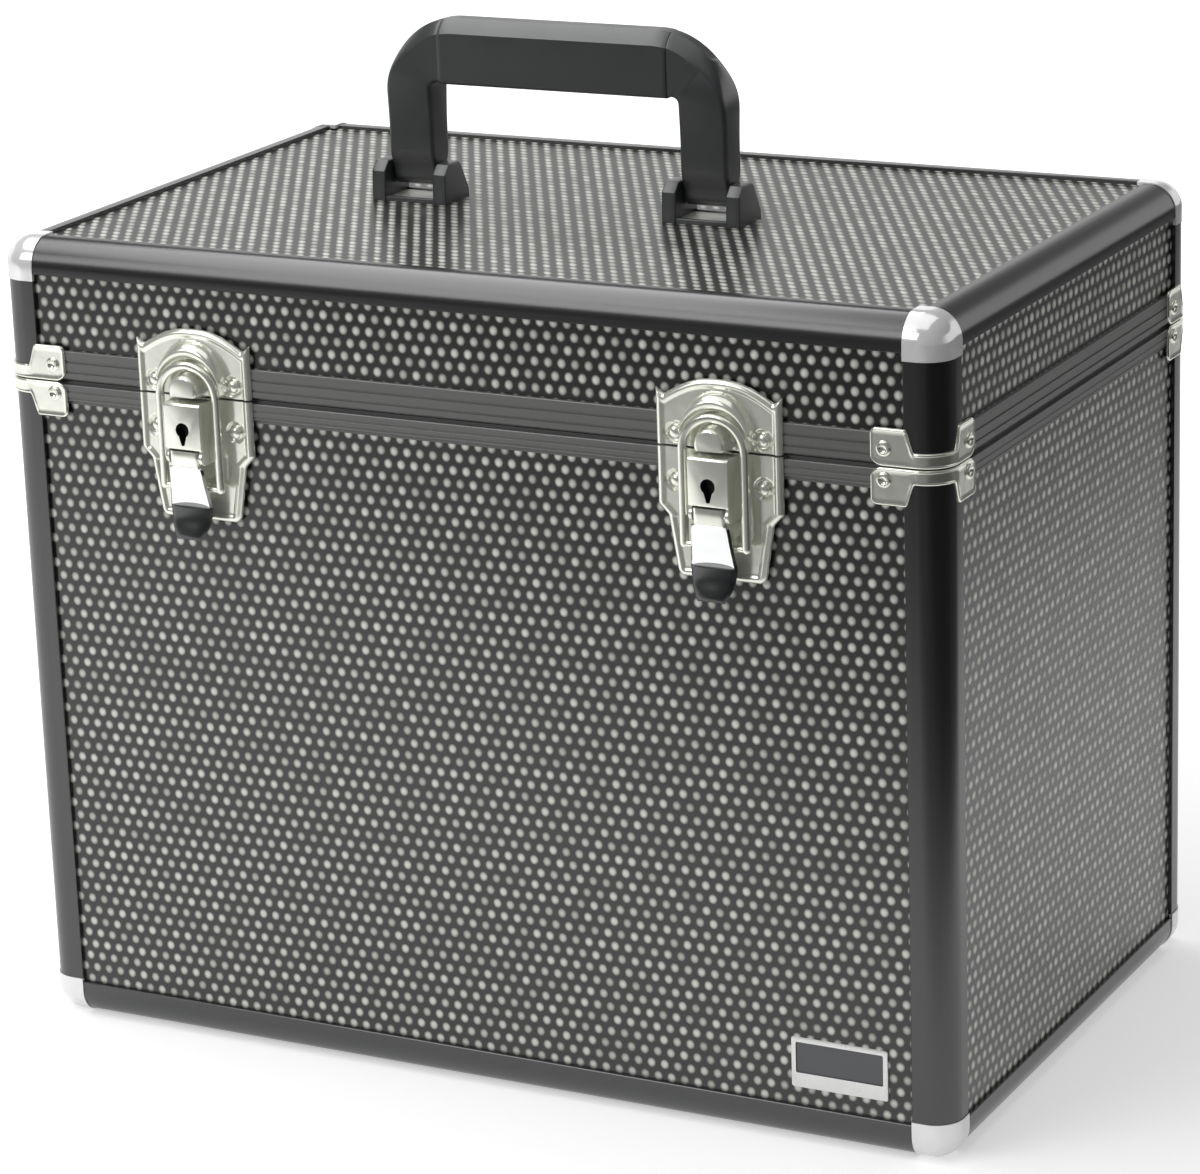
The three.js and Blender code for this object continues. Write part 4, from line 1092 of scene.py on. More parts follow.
class KeepersOperator(bpy.types.Operator):
    """Builds the arched keeper plates with their pressed hoods and hooks"""

    bl_idname = "vanity.keepers"
    bl_label = "Latch keepers"

    # Radius and reach in mm up the round hook that the bail's arch goes over
    hook_profile = (
        (8.0, 0.6), (7.9, 1.3), (7.0, 1.7), (6.3, 2.6), (5.9, 4.0), (5.6, 7.0), (5.5, 8.4), (5.3, 8.9),
        (4.95, 9.25), (4.4, 9.35))

    def crest_of(self, x, half):
        """Height of the top edge: an arch between two shoulders that turn up at their ends."""
        shoulder, dip, crown, arch = 19.6 * MM, 17.6 * MM, 24 * MM, half - 3 * MM
        x = abs(x)
        if x > arch:
            return dip + (shoulder - dip) * ((x - arch) / (half - arch)) ** 1.3
        # The arch is a cubic curve, and halving finds where it passes over x
        low, high = 0.0, 1.0
        for _ in range(40):
            u = (low + high) / 2
            at = (1 - u) ** 3 * arch + 3 * (1 - u) ** 2 * u * arch / 2 + 3 * (1 - u) * u * u * arch / 4
            low, high = (u, high) if at > x else (low, u)
        u = (low + high) / 2
        return (1 - u) ** 3 * dip + (1 - (1 - u) ** 3) * crown

    def hood_at(self, x, z, sizes):
        """Height of the pressed hood, a half ring, widest at its top and run out at its feet."""
        radius = math.hypot(x, z - ARCH_CENTRE)
        lift = max(0.0, (z - ARCH_CENTRE) / max(radius, 1e-6))
        inner, outer = 12.9 * MM, (13.9 + 5.6 * lift * lift) * MM
        across = (radius - (inner + outer) / 2) / ((outer - inner) / 2)
        if abs(across) >= 1:
            return 0.0
        return sizes.hood_height * (1 - across * across) ** 0.58 * eased(lift, 0.0, 0.5)

    def keeper(self, place):
        """The plate with its hood and rivets, and the hook."""
        sizes = bpy.context.scene.vanity_latch
        half, sheet = sizes.half_width, sizes.sheet
        foot = sizes.gap / 2
        columns = []
        for x in graded(-half, half, True, True, PLATE_ROLL, 110):
            top = self.crest_of(x, half)
            share = shortened(lambda at: self.crest_of(at, half), x, 0.1 * MM, 4.0)
            column = []
            for z in graded(foot, top, False, True, PLATE_ROLL, 56):
                distance = min(half - abs(x), (top - z) * share)
                height = rolled(distance, PLATE_EDGE, sheet, sizes.bead, PLATE_ROLL)
                height += self.hood_at(x, z, sizes)
                column.append((x, z, height - sunk_ring(x, z, KEEPER_RIVETS)))
            columns.append(column)
        sides = 56
        angles = [2 * math.pi * i / sides for i in range(sides)]
        hook = []
        for radius, reach in self.hook_profile:
            # Its underside is cut off level over the gap between the plates
            lowest = foot + 0.12 * reach * MM
            hook.append([
                place(radius * MM * math.cos(a), reach * MM,
                      max(lowest, HOOK_CENTRE + radius * MM * math.sin(a))) for a in angles])
        rivets = [rivet(place, x, z, sheet) for x, z in KEEPER_RIVETS]
        return [grid_sheet(columns, 0.0, place), loft(hook), *rivets]

    def execute(self, context):
        for hand in HANDS:
            make_piece(f"keeper_{hand}", self.keeper(at_latch(hand)), "satin_nickel_latch", "lid",
                       [f"latch_keeper_{hand}"])
        return {"FINISHED"}


class BasesOperator(bpy.types.Operator):
    """Builds the latch base plates with their lock cases"""

    bl_idname = "vanity.bases"
    bl_label = "Latch bases and locks"

    def half_at(self, z, half):
        """Half width of the plate: straight, then a step in, then tapered to a rounded foot."""
        step_start, step_end, waist, foot = 20.4 * MM, 24.2 * MM, 19.4 * MM, 16 * MM
        depth = -z
        if depth < step_start:
            width = half
        elif depth < step_end:
            width = half + (waist - half) * (depth - step_start) / (step_end - step_start)
        else:
            width = waist + (foot - waist) * (depth - step_end) / (PLATE_DROP - step_end)
        return width - rounded_off(PLATE_DROP - depth, 2.5 * MM)

    def plate(self, place):
        sizes = bpy.context.scene.vanity_latch
        rows = []
        for z in graded(-PLATE_DROP, -sizes.gap / 2, True, False, PLATE_ROLL, 88):
            width = self.half_at(z, sizes.half_width)
            share = shortened(lambda at: self.half_at(at, sizes.half_width), z, 0.3 * MM, 3.0)
            row = []
            for x in graded(-width, width, True, True, PLATE_ROLL, 96):
                distance = min((width - abs(x)) * share, z + PLATE_DROP)
                height = rolled(distance, PLATE_EDGE, sizes.sheet, sizes.bead, PLATE_ROLL)
                row.append((x, z, height - sunk_ring(x, z, BASE_RIVETS)))
            rows.append(row)
        return grid_sheet(rows, 0.0, place)

    def execute(self, context):
        sizes = context.scene.vanity_latch
        front, half = sizes.lock_front, sizes.lock_half
        wall = 1.2 * MM
        inner = half - wall
        back, top, mouth, bottom = 0.4 * MM, -0.6 * MM, -17.4 * MM, -30 * MM
        # The lock case from the side: two rounded front corners, and ears round the lever's axle
        side = [(back, top), *arc((front - 1.1 * MM, top - 1.1 * MM), 1.1 * MM, 90, 0, 6),
                *arc((front - 0.7 * MM, mouth + 0.7 * MM), 0.7 * MM, 0, -90, 4),
                *arc(AXLE, 2.6 * MM, 36, -90, 8), (back, -22.9 * MM)]
        pocket = [(wall, bottom), (wall, -2.4 * MM), (front - wall, -2.4 * MM), (front - wall, mouth),
                  (front + 4 * MM, mouth), (front + 4 * MM, bottom)]
        slot_half, slot_end = 0.75 * MM, -15.8 * MM
        keyhole = [(slot_half * 0.6, slot_end), (slot_half, slot_end + 0.5 * MM),
                   *arc((0, KEYHOLE), 2.7 * MM, -55, 235, 32), (-slot_half, slot_end + 0.5 * MM),
                   (-slot_half * 0.6, slot_end)]
        for hand in HANDS:
            place = at_latch(hand)

            def across(reach, z, x):
                return place(x, reach, z)

            case = bevelled(prism(side, -half, half, across), 0.45 * MM, 3)
            lock = make_piece(f"lock_{hand}", [case], "satin_nickel_latch", "case")
            cut_out(lock, [prism(pocket, -inner, inner, across)], "satin_nickel_latch")
            cylinder = rod(4.6 * MM, 6.4 * MM, place(0, front - 7.2 * MM, KEYHOLE), (0, -1, 0), 40)
            barrel = make_piece(f"barrel_{hand}", [cylinder], "satin_nickel_latch", "case")
            hole = prism(
                keyhole, front - 4 * MM, front + 4 * MM, lambda x, z, reach: place(x, reach, z))
            # The keyhole's cut walls are painted near black: painted shade inside the hole
            cut_out(lock, [hole], "keyhole_painted_shade")
            cut_out(barrel, [hole], "keyhole_painted_shade")
            axle_end = 0.3 * MM
            axle = rod(1.2 * MM, 2 * (half - axle_end), place(axle_end - half, *AXLE), (1, 0, 0), 24)
            rivets = [rivet(place, x, z, sizes.sheet) for x, z in BASE_RIVETS]
            make_piece(f"base_{hand}", [self.plate(place), axle, *rivets], "satin_nickel_latch", "case",
                       [f"latch_base_{hand}"])
        return {"FINISHED"}


class LeversOperator(bpy.types.Operator):
    """Builds the latch levers with their flared thumb tabs"""

    bl_idname = "vanity.levers"
    bl_label = "Latch levers"

    # Stations down the lever in mm: drop under the axle, half width, reach from the front
    drops = (-2.3, 0, 2.9, 4.2, 9.8, 15.7, 18.7, 22.6, 26.7, 29.9)
    spreads = (5.85, 5.85, 5.85, 7.0, 7.6, 8.3, 8.6, 8.1, 6.9, 5.0)
    reaches = (9.8, 9.9, 9.6, 9.3, 8.4, 7.3, 6.9, 7.2, 8.6, 10.0)

    def smooth_at(self, values, share):
        """A value between the stations, on a smooth curve through them all."""
        place = min(share * (len(values) - 1), len(values) - 1 - 1e-9)
        i = int(place)
        t = place - i
        a = values[max(i - 1, 0)]
        b, c = values[i], values[i + 1]
        d = values[min(i + 2, len(values) - 1)]
        return b + 0.5 * t * (c - a + t * (2 * a - 5 * b + 4 * c - d + t * (3 * (b - c) + d - a)))

    def tab(self, place, first, last, thickness, dish, crisp):
        """A closed length of the lever, from share first to share last of its way down.

        thickness and dish, its hollow across, are in mm. A high crisp gives square side edges. The
        lever's own end is blunt and round.
        """
        count, lanes = 40, 20
        track = []
        for i in range(count + 1):
            share = first + (last - first) * i / count
            drop, spread, reach = (
                self.smooth_at(values, share) for values in (self.drops, self.spreads, self.reaches))
            track.append((reach, AXLE[1] / MM - drop, spread))
        rings = []
        for i, (reach, z, spread) in enumerate(track):
            before, after = track[max(i - 1, 0)], track[min(i + 1, count)]
            along = Vector((after[0] - before[0], after[1] - before[1])).normalized()
            down = i / count
            blunt = max(0.12, math.sqrt(max(0.0, 1 - down ** 8))) if last == 1.0 else 1.0
            ring = []
            for side in (1, -1):
                for j in range(lanes + 1):
                    across = side * (-1 + 2 * j / lanes)
                    edge = math.sqrt(max(0.0, 1 - abs(across) ** crisp))
                    hollow = dish * (1 - across * across) * (1 - 0.6 * down ** 2)
                    offset = side * thickness / 2 * edge * blunt + hollow
                    ring.append(place(
                        across * spread * MM, (reach - along.y * offset) * MM,
                        (z + along.x * offset) * MM))
            rings.append(ring)
        return loft(rings)

    def execute(self, context):
        ear = [(8.4 * MM, -28.25 * MM), *arc(BAIL_PINS, 2.5 * MM, 100, 270, 14), (7.5 * MM, -34.5 * MM)]
        for hand in HANDS:
            place = at_latch(hand)
            body = f"lever_{hand}"
            knuckle = rod(2.3 * MM, 2 * LEVER_HALF, place(-LEVER_HALF, *AXLE), (1, 0, 0), 32, 0.3 * MM)
            ears = [
                bevelled(prism(ear, *ends, lambda reach, z, x: place(x, reach, z)), 0.25 * MM)
                for ends in ((-LEVER_HALF, -LEVER_INSIDE), (LEVER_INSIDE, LEVER_HALF))]
            plate = self.tab(place, 0.0, 0.556, 1.0, 0.0, 12)
            make_piece(f"lever_{hand}", [plate, knuckle, *ears], "chrome_plated_steel", body,
                       [f"latch_lever_{hand}"])
            cover = self.tab(place, 0.24, 0.68, 1.6, 0.05, 24)
            make_piece(f"thumb_tab_{hand}", [cover], "bright_chrome_steel", body)
            # The dark tip is black plastic, and its dark also stands in for a dark reflection in plated
            # steel: partly painted reflection
            sleeve = self.tab(place, 0.644, 1.0, 2.6, 1.7, 6)
            make_piece(f"thumb_tip_{hand}", [sleeve], "black_tip_and_painted_reflection", body)
        return {"FINISHED"}


class BailsOperator(bpy.types.Operator):
    """Builds the bent bails that draw the lid down"""

    bl_idname = "vanity.bails"
    bl_label = "Latch bails"

    def bail(self, place):
        """A flattened wire bent to an arch, with rounded feet and a pin on each."""
        sizes = bpy.context.scene.vanity_latch
        # Half the arch's clear width, and the power that flattens the wire's round section
        inside, flatness = 9.9 * MM, 0.7
        leg_steps, arch_steps, sides = 10, 36, 20
        middle = inside + sizes.bail_bar / 2
        reach, foot = BAIL_PINS
        # The wire's middle line: its (x, z), the way out of the arch, and the share of its thickness
        path = [((middle, foot + step * MM), (1, 0), share)
                for step, share in ((-1.3, 0.35), (-1.0, 0.75), (-0.4, 0.97), (0.4, 1.0))]
        path += [((middle, foot + (ARCH_CENTRE - foot) * i / leg_steps), (1, 0), 1.0)
                 for i in range(1, leg_steps)]
        leg = list(reversed(path))
        for i in range(arch_steps + 1):
            out = (math.cos(math.pi * i / arch_steps), math.sin(math.pi * i / arch_steps))
            path.append(((middle * out[0], ARCH_CENTRE + middle * out[1]), out, 1.0))
        path += [((-x, z), (-1, 0), share) for (x, z), _, share in leg]
        rings = []
        for (x, z), (out_x, out_z), share in path:
            ring = []
            for i in range(sides):
                u, v = math.cos(2 * math.pi * i / sides), math.sin(2 * math.pi * i / sides)
                out = math.copysign(abs(u) ** flatness, u) * sizes.bail_bar / 2 * share
                rise = math.copysign(abs(v) ** flatness, v) * sizes.bail_depth / 2
                rise *= 0.5 + share / 2
                ring.append(place(x + out_x * out, reach + rise, z + out_z * out))
            rings.append(ring)
        length = 6.75 * MM
        pins = [rod(1.2 * MM, length, place(start, reach, foot), (1, 0, 0), 20)
                for start in (LEVER_INSIDE, -LEVER_INSIDE - length)]
        return [loft(rings), *pins]

    def execute(self, context):
        for hand in HANDS:
            make_piece(f"bail_loop_{hand}", self.bail(at_latch(hand)), "chrome_plated_steel",
                       f"bail_{hand}", [f"latch_bail_{hand}"])
        return {"FINISHED"}


class HandleOperator(bpy.types.Operator):
    """Builds the moulded carrying handle"""

    bl_idname = "vanity.handle"
    bl_label = "Handle"

    def depth_at(self, z, sizes):
        """Half depth at a height over the pivot: a round foot, then the leg, then the deeper grip."""
        leg, grip, foot = sizes.leg_depth / 2, sizes.grip_depth / 2, sizes.foot_radius
        rise = sizes.rise
        if z < 0:
            return math.sqrt(max(0.0, foot ** 2 - z ** 2))
        if z < 0.2 * rise:
            return foot + (leg - foot) * eased(z, 0, 0.16 * rise)
        return leg + (grip - leg) * eased(z, 0.3 * rise, 0.68 * rise)

    def ring(self, outer, inner, swell, sizes, middle):
        """Rounded section between an outer and an inner point (x, z), standing out by swell."""
        outer, inner = Vector(outer), Vector(inner)
        inner += (inner - outer).normalized() * swell
        centre, half = (outer + inner) / 2, (outer - inner) / 2
        reach = half.length
        steps = 8
        on_top = eased(half.normalized().y, 0.0, 1.0)
        lowest = -sizes.foot_radius * 0.985
        points = []
        for quadrant, (side_u, side_v) in enumerate(((1, 1), (-1, 1), (-1, -1), (1, -1))):
            z = (centre + half * side_u * 0.9).y
            depth = self.depth_at(max(z, lowest), sizes) + swell
            crown = (sizes.crown - sizes.edge_round) * (on_top if side_u > 0 else 0.0)
            turn = min(sizes.edge_round + crown, depth * 0.92, reach * 0.92)
            # The grip's top edges slope nearly straight; every other edge is round
            slope = 0.8 * on_top if side_u > 0 else 0.0
            for step in range(steps + 1):
                angle = math.pi / 2 * (quadrant + step / steps)
                share = step / steps if side_u == side_v else 1 - step / steps
                out_u = (1 - slope) * abs(math.cos(angle)) + slope * (1 - share)
                out_v = (1 - slope) * abs(math.sin(angle)) + slope * share
                u = side_u * (reach - turn + turn * out_u)
                v = side_v * (depth - turn + turn * out_v)
                at = centre + half.normalized() * u
                points.append(Vector((middle.x + at.x, middle.y + v, middle.z + at.y)))
        return points

    def execute(self, context):
        sizes = context.scene.vanity_handle
        rise, outer, inner = sizes.rise, sizes.outer_round, sizes.inner_round
        low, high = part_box("handle")
        middle = Vector(((low.x + high.x) / 2, (low.y + high.y) / 2, high.z - rise))
        outer_x = (high.x - low.x) / 2
        inner_x = outer_x - sizes.leg_width
        grip_low = rise - sizes.grip
        leg_top = grip_low - inner
        bend_x, bend_z = outer - outer_x, rise - outer
        # Sections from the left foot to the middle: outer point, inner point, stand over the leg
        foot = sizes.foot_radius
        spans = [((-outer_x, foot * share), (-inner_x, foot * share), 0.0)
                 for share in (-0.98, -0.92, -0.82, -0.68, -0.5, -0.28, 0.0)]
        leg_steps, bend_steps = 18, 22
        for i in range(1, leg_steps + 1):
            share = i / leg_steps
            spans.append(((-outer_x, bend_z * share), (-inner_x, leg_top * share), 0.0))
        # The grip's shell meets the leg in a seam just past the inner bend
        seam_x = inner - inner_x + 1.3 * MM
        seam = math.degrees(math.acos((seam_x - bend_x) / outer))
        for i in range(1, bend_steps + 1):
            over = math.radians(180 - (180 - seam) * i / bend_steps)
            under = math.radians(180 - 90 * i / bend_steps)
            spans.append((
                (bend_x + outer * math.cos(over), bend_z + outer * math.sin(over)),
                (inner - inner_x + inner * math.cos(under), leg_top + inner * math.sin(under)), 0.0))
        # From the seam on, the grip stands a little over the legs and its sections are upright
        for share, swell in ((0.0, 0.0), (0.03, 0.8), (0.08, 1.0), (0.3, 1.0), (0.5, 1.0), (0.75, 1.0),
                             (1.0, 1.0)):
            angle = math.radians(seam + (90 - seam) * share)
            x = bend_x + outer * math.cos(angle)
            spans.append(((x, bend_z + outer * math.sin(angle)), (x, grip_low), swell * sizes.swell))
        spans += [((x, rise), (x, grip_low), sizes.swell) for x in (bend_x * 0.7, bend_x * 0.35, 0.0)]
        spans += [((-o[0], o[1]), (-i[0], i[1]), swell) for o, i, swell in reversed(spans[:-1])]
        rings = [self.ring(*span, sizes, middle) for span in spans]
        make_piece("carrying_handle", [loft(rings)], "moulded_black_plastic", "handle",
                   ["handle"], smooth=30)
        return {"FINISHED"}


class BracketsOperator(bpy.types.Operator):
    """Builds the two handle brackets"""

    bl_idname = "vanity.brackets"
    bl_label = "Handle brackets"

    def execute(self, context):
        ear, sunk = 5.5 * MM, -0.7 * MM
        front, back, top = -9.4 * MM, 8.6 * MM, 14.4 * MM
        # Seen from the side an ear stands upright in front and slants behind
        outline = rounded([
            (front, sunk), (back, sunk), (back, 3.2 * MM, 1.2 * MM), (2.4 * MM, top, 2.4 * MM),
            (front + 3.6 * MM, top, 0.5 * MM), (front + 0.4 * MM, 11.0 * MM, 0.5 * MM),
            (front, 3.2 * MM, 4 * MM)])
        for hand in HANDS:
            node = f"handle_bracket_{hand}"
            low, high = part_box(node)
            middle = (low + high) / 2
            half_width = (high.x - low.x) / 2

            def upright(y, z, x):
                return Vector((middle.x + x, middle.y + y, low.z + z))

            def flat(inset, first, last):
                """Outline of a crosspiece between the ears, seen from above."""
                return rounded(oblong(inset - half_width, first, half_width - inset, last))

            ears = [bevelled(prism(outline, *ends, upright), 0.6 * MM, 3)
                    for ends in ((-half_width, ear - half_width), (half_width - ear, half_width))]
            bars = [
                bevelled(
                    prism(flat(1 * MM, *ends), sunk, 2 * MM, lambda x, y, z: upright(y, z, x)),
                    0.5 * MM)
                for ends in ((front + 0.4 * MM, front + 2.2 * MM), (back - 2.2 * MM, back - 0.4 * MM))]
            strap = flat(2 * MM, front + 1.5 * MM, back - 1.5 * MM)
            strap = bevelled(prism(strap, 0, 1.3 * MM, lambda x, y, z: upright(y, z, x)), 0.2 * MM)
            pin = rod(2.2 * MM, 2 * half_width - ear, upright(0, 9.2 * MM, ear / 2 - half_width),
                      (1, 0, 0), 28)
            make_piece(f"bracket_{hand}", [*ears, *bars, pin], "moulded_black_plastic", "lid",
                       [node])
            make_piece(f"bracket_strap_{hand}", [strap], "zinc_plated_strap", "lid")
        return {"FINISHED"}


class HingeOperator(bpy.types.Operator):
    """Builds the long hinge on the back"""

    bl_idname = "vanity.hinge"
    bl_label = "Hinge"

    def execute(self, context):
        low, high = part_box("hinge_pin")
        middle_x, half = (low.x + high.x) / 2, (high.x - low.x) / 2
        axis_y, knuckle, knuckle_gap = back_plane + 3.3 * MM, 3 * MM, 0.2 * MM
        near, rise, sheet = 3.3 * MM, 12 * MM, 1.2 * MM
        knuckles, rivets = 5, 6
        pitch = 2 * half / knuckles
        end_inset = 14 * MM
        spread = 2 * (half - end_inset) / (rivets - 1)
        leaves = (("hinge_leaf_body", "hinge_body_leaf", "case", -1, 0),
                  ("hinge_leaf_lid", "hinge_lid_leaf", "lid", 1, 1))
        for name, node, body, up, first in leaves:

            def place(x, reach, z):
                return Vector((middle_x - x, back_plane + reach, parting + up * z))

            outline = rounded(
                [(-half, near), (half, near), (half, rise, 2 * MM), (-half, rise, 2 * MM)])
            leaf = prism(outline, 0, sheet, lambda x, z, reach: place(x, reach, z))
            shells = [bevelled(leaf, 0.25 * MM)]
            # Each leaf carries every second knuckle, on a web that bends out from it
            for number in range(first, knuckles, 2):
                start = -half + number * pitch + knuckle_gap
                end = start + pitch - 2 * knuckle_gap
                shells.append(rod(
                    knuckle, end - start, (middle_x - start, axis_y, parting), (-1, 0, 0), 36,
                    0.25 * MM))
                web = rounded(oblong(0, 0, sheet, near + sheet))
                shells.append(prism(web, start, end, lambda reach, z, x: place(x, reach, z)))
            for number in range(rivets):
                x = -half + end_inset + number * spread
                shells.append(rivet(place, x, (near + rise) / 2, sheet, 2.2 * MM, 0.8 * MM))
            make_piece(name, shells, "chrome_plated_steel", body, [node])
        # The pin is upset at both ends to a low head
        radius, head, length = 1.25 * MM, 1.9 * MM, 2 * half
        profile = [(0, -0.4 * MM), (1.6 * MM, -0.2 * MM), (head, 0.0), (radius, 0.05 * MM)]
        profile += [(across, length - along) for across, along in reversed(profile)]
        pin = turned_form(profile, (middle_x - half, axis_y, parting), (1, 0, 0), 28)
        make_piece("hinge_rod", [pin], "chrome_plated_steel", "case", ["hinge_pin"])
        return {"FINISHED"}


class LiningsOperator(bpy.types.Operator):
    """Builds the felt linings of body and lid"""

    bl_idname = "vanity.linings"
    bl_label = "Linings"

    def execute(self, context):
        sheet, fillet = 2 * MM, 7 * MM
        # The rounded top of the wall: inset, depth under the rim and corner radius
        edge = ((0, 0.8 * MM, 1 * MM), (0.25 * MM, 0.2 * MM, 1 * MM), (0.8 * MM, 0, 1.2 * MM),
                (1.2 * MM, 0, 1.5 * MM), (sheet - 0.25 * MM, 0.2 * MM, 3 * MM),
                (sheet, 0.8 * MM, 3 * MM))
        for node, body, up in (("body_lining", "case", 1), ("lid_lining", "lid", -1)):
            low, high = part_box(node)
            floor, rim = (low.z, high.z) if up > 0 else (high.z, low.z)
            # The felt reaches a little over the rim's leg, which closes the joint between them
            rim += up * 1.5 * MM
            inside = floor + up * sheet
            centre, size = (low + high) / 2, (high - low) / 2

            def loop(inset, z, turn):
                x, y = size.x - inset, size.y - inset
                outline = rounded(oblong(-x, -y, x, y, turn), 8)
                return [Vector((centre.x + px, centre.y + py, z)) for px, py in outline]

            rings = [loop(0, floor, 1 * MM)]
            rings += [loop(inset, rim - up * under, turn) for inset, under, turn in edge]
            for share in (0.25, 0.5, 0.75):
                rings.append(loop(sheet, rim + (inside + up * fillet - rim) * share, 3 * MM))
            for step in range(9):
                angle = math.pi / 2 * step / 8
                rings.append(loop(
                    sheet + fillet * (1 - math.cos(angle)),
                    inside + up * fillet * (1 - math.sin(angle)), 3 * MM + fillet * step / 16))
            for share in (0.285, 0.57, 0.855):
                inset = sheet + fillet + share * (size.y - sheet - fillet)
                rings.append(loop(inset, inside, 6 * MM))
            make_piece(node.replace("lining", "felt_tray"), [loft(rings)], "needled_felt", body,
                       [node])
        return {"FINISHED"}


class BlankPlateOperator(bpy.types.Operator):
    """Builds the bare plate low on the front"""

    bl_idname = "vanity.blank_plate"
    bl_label = "Blank plate"

    def execute(self, context):
        sizes = context.scene.vanity_case
        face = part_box("body_front_panel")[0].y
        middle_x, middle_z = 140.8 * MM, 29.6 * MM
        x, z = sizes.plate_width / 2, sizes.plate_height / 2
        # The enamelled field is sunk in, with a narrow margin and a wide band under it
        margin, band = 1.7 * MM, 5.4 * MM

        def place(u, v, reach):
            return Vector((middle_x + u, face - reach, middle_z + v))

        outline = rounded(oblong(-x, -z, x, z, 0.8 * MM), 4)
        plate = bevelled(prism(outline, 0, 0.9 * MM, place), 0.25 * MM)
        piece = make_piece("blank_plate", [plate], "satin_silver_plate", "case")
        field = rounded(oblong(margin - x, band - z, x - margin, z - margin, 0.5 * MM), 3)
        cut_out(piece, [prism(field, 0.5 * MM, 2 * MM, place)], "enamelled_field")
        return {"FINISHED"}


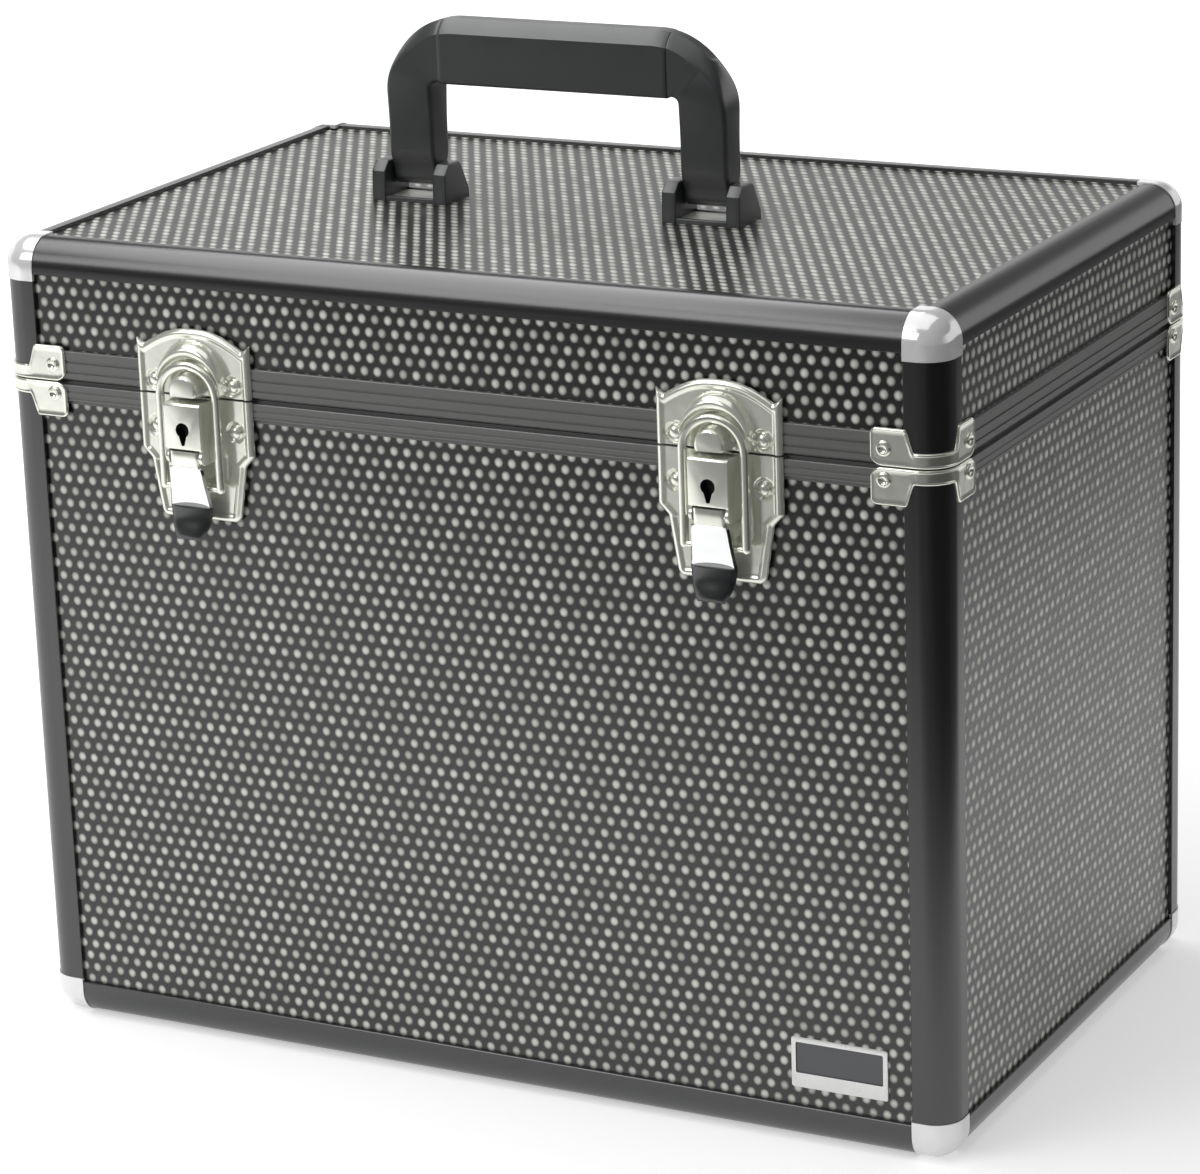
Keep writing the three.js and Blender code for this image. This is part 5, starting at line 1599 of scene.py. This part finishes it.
class StageOperator(bpy.types.Operator):
    """Sets up the floor, lights, world and camera"""

    bl_idname = "vanity.stage"
    bl_label = "Stage"

    # Softboxes: name, place, the point they face, width and height, and radiance
    softboxes = (
        ("overhead_softbox", (-0.63, -0.08, 1.3), (-0.63, -0.08, 0.0), (0.62, 2.05), 3.5),
        ("fill_softbox", (0.08, -0.1, 1.32), (0.08, -0.1, 0.0), (0.8, 1.5), 1.0),
        ("front_softbox", (-0.9, -1.75, 1.25), (0.0, 0.0, 0.15), (1.2, 0.9), 3.3))

    def paper(self):
        """White paper that takes a shadow and is white to the eye and to mirrors."""
        material, tree = new_material("floor_paper")
        seen = add_node(tree, "ShaderNodeLightPath")
        place = add_node(tree, "ShaderNodeTexCoord")
        mirrored = add_node(
            tree, "ShaderNodeMath", {"operation": "MAXIMUM"}, None,
            {0: (seen, "Is Glossy Ray"), 1: (seen, "Is Transmission Ray")})
        shown = add_node(
            tree, "ShaderNodeMath", {"operation": "MAXIMUM"}, None,
            {0: (seen, "Is Camera Ray"), 1: (mirrored, 0)})
        # In mirror images the paper brightens away from the case's shade, and ends in the dim studio
        ahead = add_node(
            tree, "ShaderNodeVectorMath", {"operation": "DOT_PRODUCT"}, {1: (0.7, -1.0, 0.0)},
            {0: (place, "Object")})
        sideways = add_node(tree, "ShaderNodeSeparateXYZ", links={0: (place, "Object")})
        fades = (((ahead, "Value"), 0.2, 0.8, 0.1), ((ahead, "Value"), 0.05, 0.3, 1.2),
                 ((sideways, "X"), 0.38, 0.58, 0.1))
        paper_end, paper_glow, paper_side = (
            add_node(
                tree, "ShaderNodeMapRange", {"interpolation_type": "SMOOTHSTEP"},
                {"From Min": start, "From Max": end, "To Min": 1.0, "To Max": level}, {"Value": source})
            for source, start, end, level in fades)
        paper_left = paper_end
        for share in (paper_glow, paper_side):
            paper_left = add_node(
                tree, "ShaderNodeMath", {"operation": "MULTIPLY"}, None,
                {0: (paper_left, 0), 1: (share, 0)})
        kept = add_node(
            tree, "ShaderNodeMix", {"data_type": "FLOAT"}, {2: 1.0},
            {"Factor": (mirrored, 0), 3: (paper_left, 0)})
        # The eye sees the paper go to pure white behind the case's own shadow
        distance = add_node(
            tree, "ShaderNodeVectorMath", {"operation": "LENGTH"}, None, {0: (place, "Object")})
        lit = add_node(
            tree, "ShaderNodeMapRange", {"interpolation_type": "SMOOTHSTEP"},
            {"From Min": 0.35, "From Max": 0.9, "To Min": 0.45, "To Max": 1.0},
            {"Value": (distance, "Value")})
        lift = add_node(
            tree, "ShaderNodeMix", {"data_type": "FLOAT"}, {3: 0.45},
            {"Factor": (mirrored, 0), 2: (lit, 0)})
        for share in (shown, kept):
            lift = add_node(
                tree, "ShaderNodeMath", {"operation": "MULTIPLY"}, None, {0: (lift, 0), 1: (share, 0)})
        colour = add_node(
            tree, "ShaderNodeMix", {"data_type": "RGBA"},
            {6: (0, 0, 0, 1), 7: rgba(linear("e6e6e6"))}, {"Factor": (kept, 0)})
        matt = add_node(tree, "ShaderNodeBsdfDiffuse", None, None, {"Color": (colour, 2)})
        glow = add_node(tree, "ShaderNodeEmission", None, None, {"Strength": (lift, 0)})
        both = add_node(tree, "ShaderNodeAddShader", links={0: (matt, 0), 1: (glow, 0)})
        add_node(tree, "ShaderNodeOutputMaterial", links={"Surface": (both, 0)})
        return material

    def studio(self):
        """A white world to the eye; mirrors see a pale backdrop behind the case and a dimmer room."""
        world = bpy.data.worlds.new("studio")
        world.use_nodes = True
        tree = world.node_tree
        tree.nodes.clear()
        seen = add_node(tree, "ShaderNodeLightPath")
        ray = add_node(tree, "ShaderNodeTexCoord")
        ways = add_node(tree, "ShaderNodeSeparateXYZ", links={0: (ray, "Generated")})
        # The backdrop reaches up to about 20 degrees
        low = add_node(
            tree, "ShaderNodeMapRange", {"interpolation_type": "SMOOTHSTEP"},
            {"From Min": 0.3, "From Max": 0.4, "To Min": 1.0, "To Max": 0.0}, {"Value": (ways, "Z")})
        behind = add_node(
            tree, "ShaderNodeMapRange", {"interpolation_type": "SMOOTHSTEP"},
            {"From Min": -0.3, "From Max": 0.35}, {"Value": (ways, "Y")})
        backdrop = add_node(
            tree, "ShaderNodeMath", {"operation": "MULTIPLY"}, None, {0: (low, 0), 1: (behind, 0)})
        room = add_node(
            tree, "ShaderNodeMapRange", None, {"To Min": 0.14, "To Max": 1.0}, {"Value": (backdrop, 0)})
        mirrored = add_node(
            tree, "ShaderNodeMath", {"operation": "MAXIMUM"}, None,
            {0: (seen, "Is Glossy Ray"), 1: (seen, "Is Transmission Ray")})
        level = add_node(
            tree, "ShaderNodeMix", {"data_type": "FLOAT"}, {2: 0.27},
            {"Factor": (mirrored, 0), 3: (room, 0)})
        shown = add_node(
            tree, "ShaderNodeMix", {"data_type": "FLOAT"}, {3: 1.0},
            {"Factor": (seen, "Is Camera Ray"), 2: (level, 0)})
        sky = add_node(
            tree, "ShaderNodeBackground", None, {"Color": (1, 1, 1, 1)}, {"Strength": (shown, 0)})
        add_node(tree, "ShaderNodeOutputWorld", links={"Surface": (sky, 0)})
        return world

    def execute(self, context):
        scene = context.scene
        scene.view_settings.view_transform = "Standard"
        reach = 6
        mesh = bpy.data.meshes.new("floor")
        mesh.from_pydata(
            [(-reach, -reach, 0), (reach, -reach, 0), (reach, reach, 0), (-reach, reach, 0)], [],
            [(0, 1, 2, 3)])
        mesh.materials.append(self.paper())
        floor = bpy.data.objects.new("floor", mesh)
        floor.location.z = floor_level - 0.02 * MM
        scene.collection.objects.link(floor)
        scene.world = self.studio()
        for name, place, aim, (width, height), radiance in self.softboxes:
            light = bpy.data.lights.new(name, "AREA")
            light.shape = "RECTANGLE"
            light.size, light.size_y = width, height
            light.energy = radiance * math.pi * width * height
            lamp = bpy.data.objects.new(name, light)
            lamp.location = place
            lamp.rotation_euler = (Vector(aim) - Vector(place)).to_track_quat("-Z", "Y").to_euler()
            scene.collection.objects.link(lamp)
        # The lens and the place were fitted to the case's corners and edges
        camera = bpy.data.cameras.new("camera")
        camera.sensor_fit = "HORIZONTAL"
        camera.sensor_width = 36
        camera.lens = 133.984
        camera.clip_start, camera.clip_end = 0.05, 50
        view = bpy.data.objects.new("camera", camera)
        view.location = (0.726375, -1.393378, 0.639722)
        view.rotation_euler = [math.radians(a) for a in (72.81090, 1.87364, 27.06473)]
        scene.collection.objects.link(view)
        scene.camera = view
        return {"FINISHED"}


OPERATORS = (
    PanelsOperator, ExtrusionsOperator, RimsOperator, CapsOperator, BracesOperator, KeepersOperator,
    BasesOperator, LeversOperator, BailsOperator, HandleOperator, BracketsOperator, HingeOperator,
    LiningsOperator, BlankPlateOperator, StageOperator)
GROUPS = {
    "vanity_case": CaseSizes, "vanity_latch": LatchSizes, "vanity_handle": HandleSizes,
    "vanity_finishes": Finishes}


class VanityPanel(bpy.types.Panel):
    """Lists the pieces in the order they are built"""

    bl_idname = "VIEW3D_PT_vanity_case"
    bl_label = "Vanity case"
    bl_space_type = "VIEW_3D"
    bl_region_type = "UI"
    bl_category = "Vanity case"

    def draw(self, context):
        for operator in OPERATORS:
            self.layout.operator(operator.bl_idname)
        for group_name, group in GROUPS.items():
            box = self.layout.box()
            for name in group.__annotations__:
                box.prop(getattr(context.scene, group_name), name)


def register():
    for name, group in GROUPS.items():
        bpy.utils.register_class(group)
        setattr(bpy.types.Scene, name, bpy.props.PointerProperty(type=group))
    for made in (*OPERATORS, VanityPanel):
        bpy.utils.register_class(made)


def unregister():
    for made in (VanityPanel, *reversed(OPERATORS)):
        bpy.utils.unregister_class(made)
    for name, group in GROUPS.items():
        delattr(bpy.types.Scene, name)
        bpy.utils.unregister_class(group)


def main():
    """Registers the add-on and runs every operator."""
    register()
    for operator in OPERATORS:
        group, name = operator.bl_idname.split(".")
        getattr(getattr(bpy.ops, group), name)()


if __name__ == "__main__":
    main()
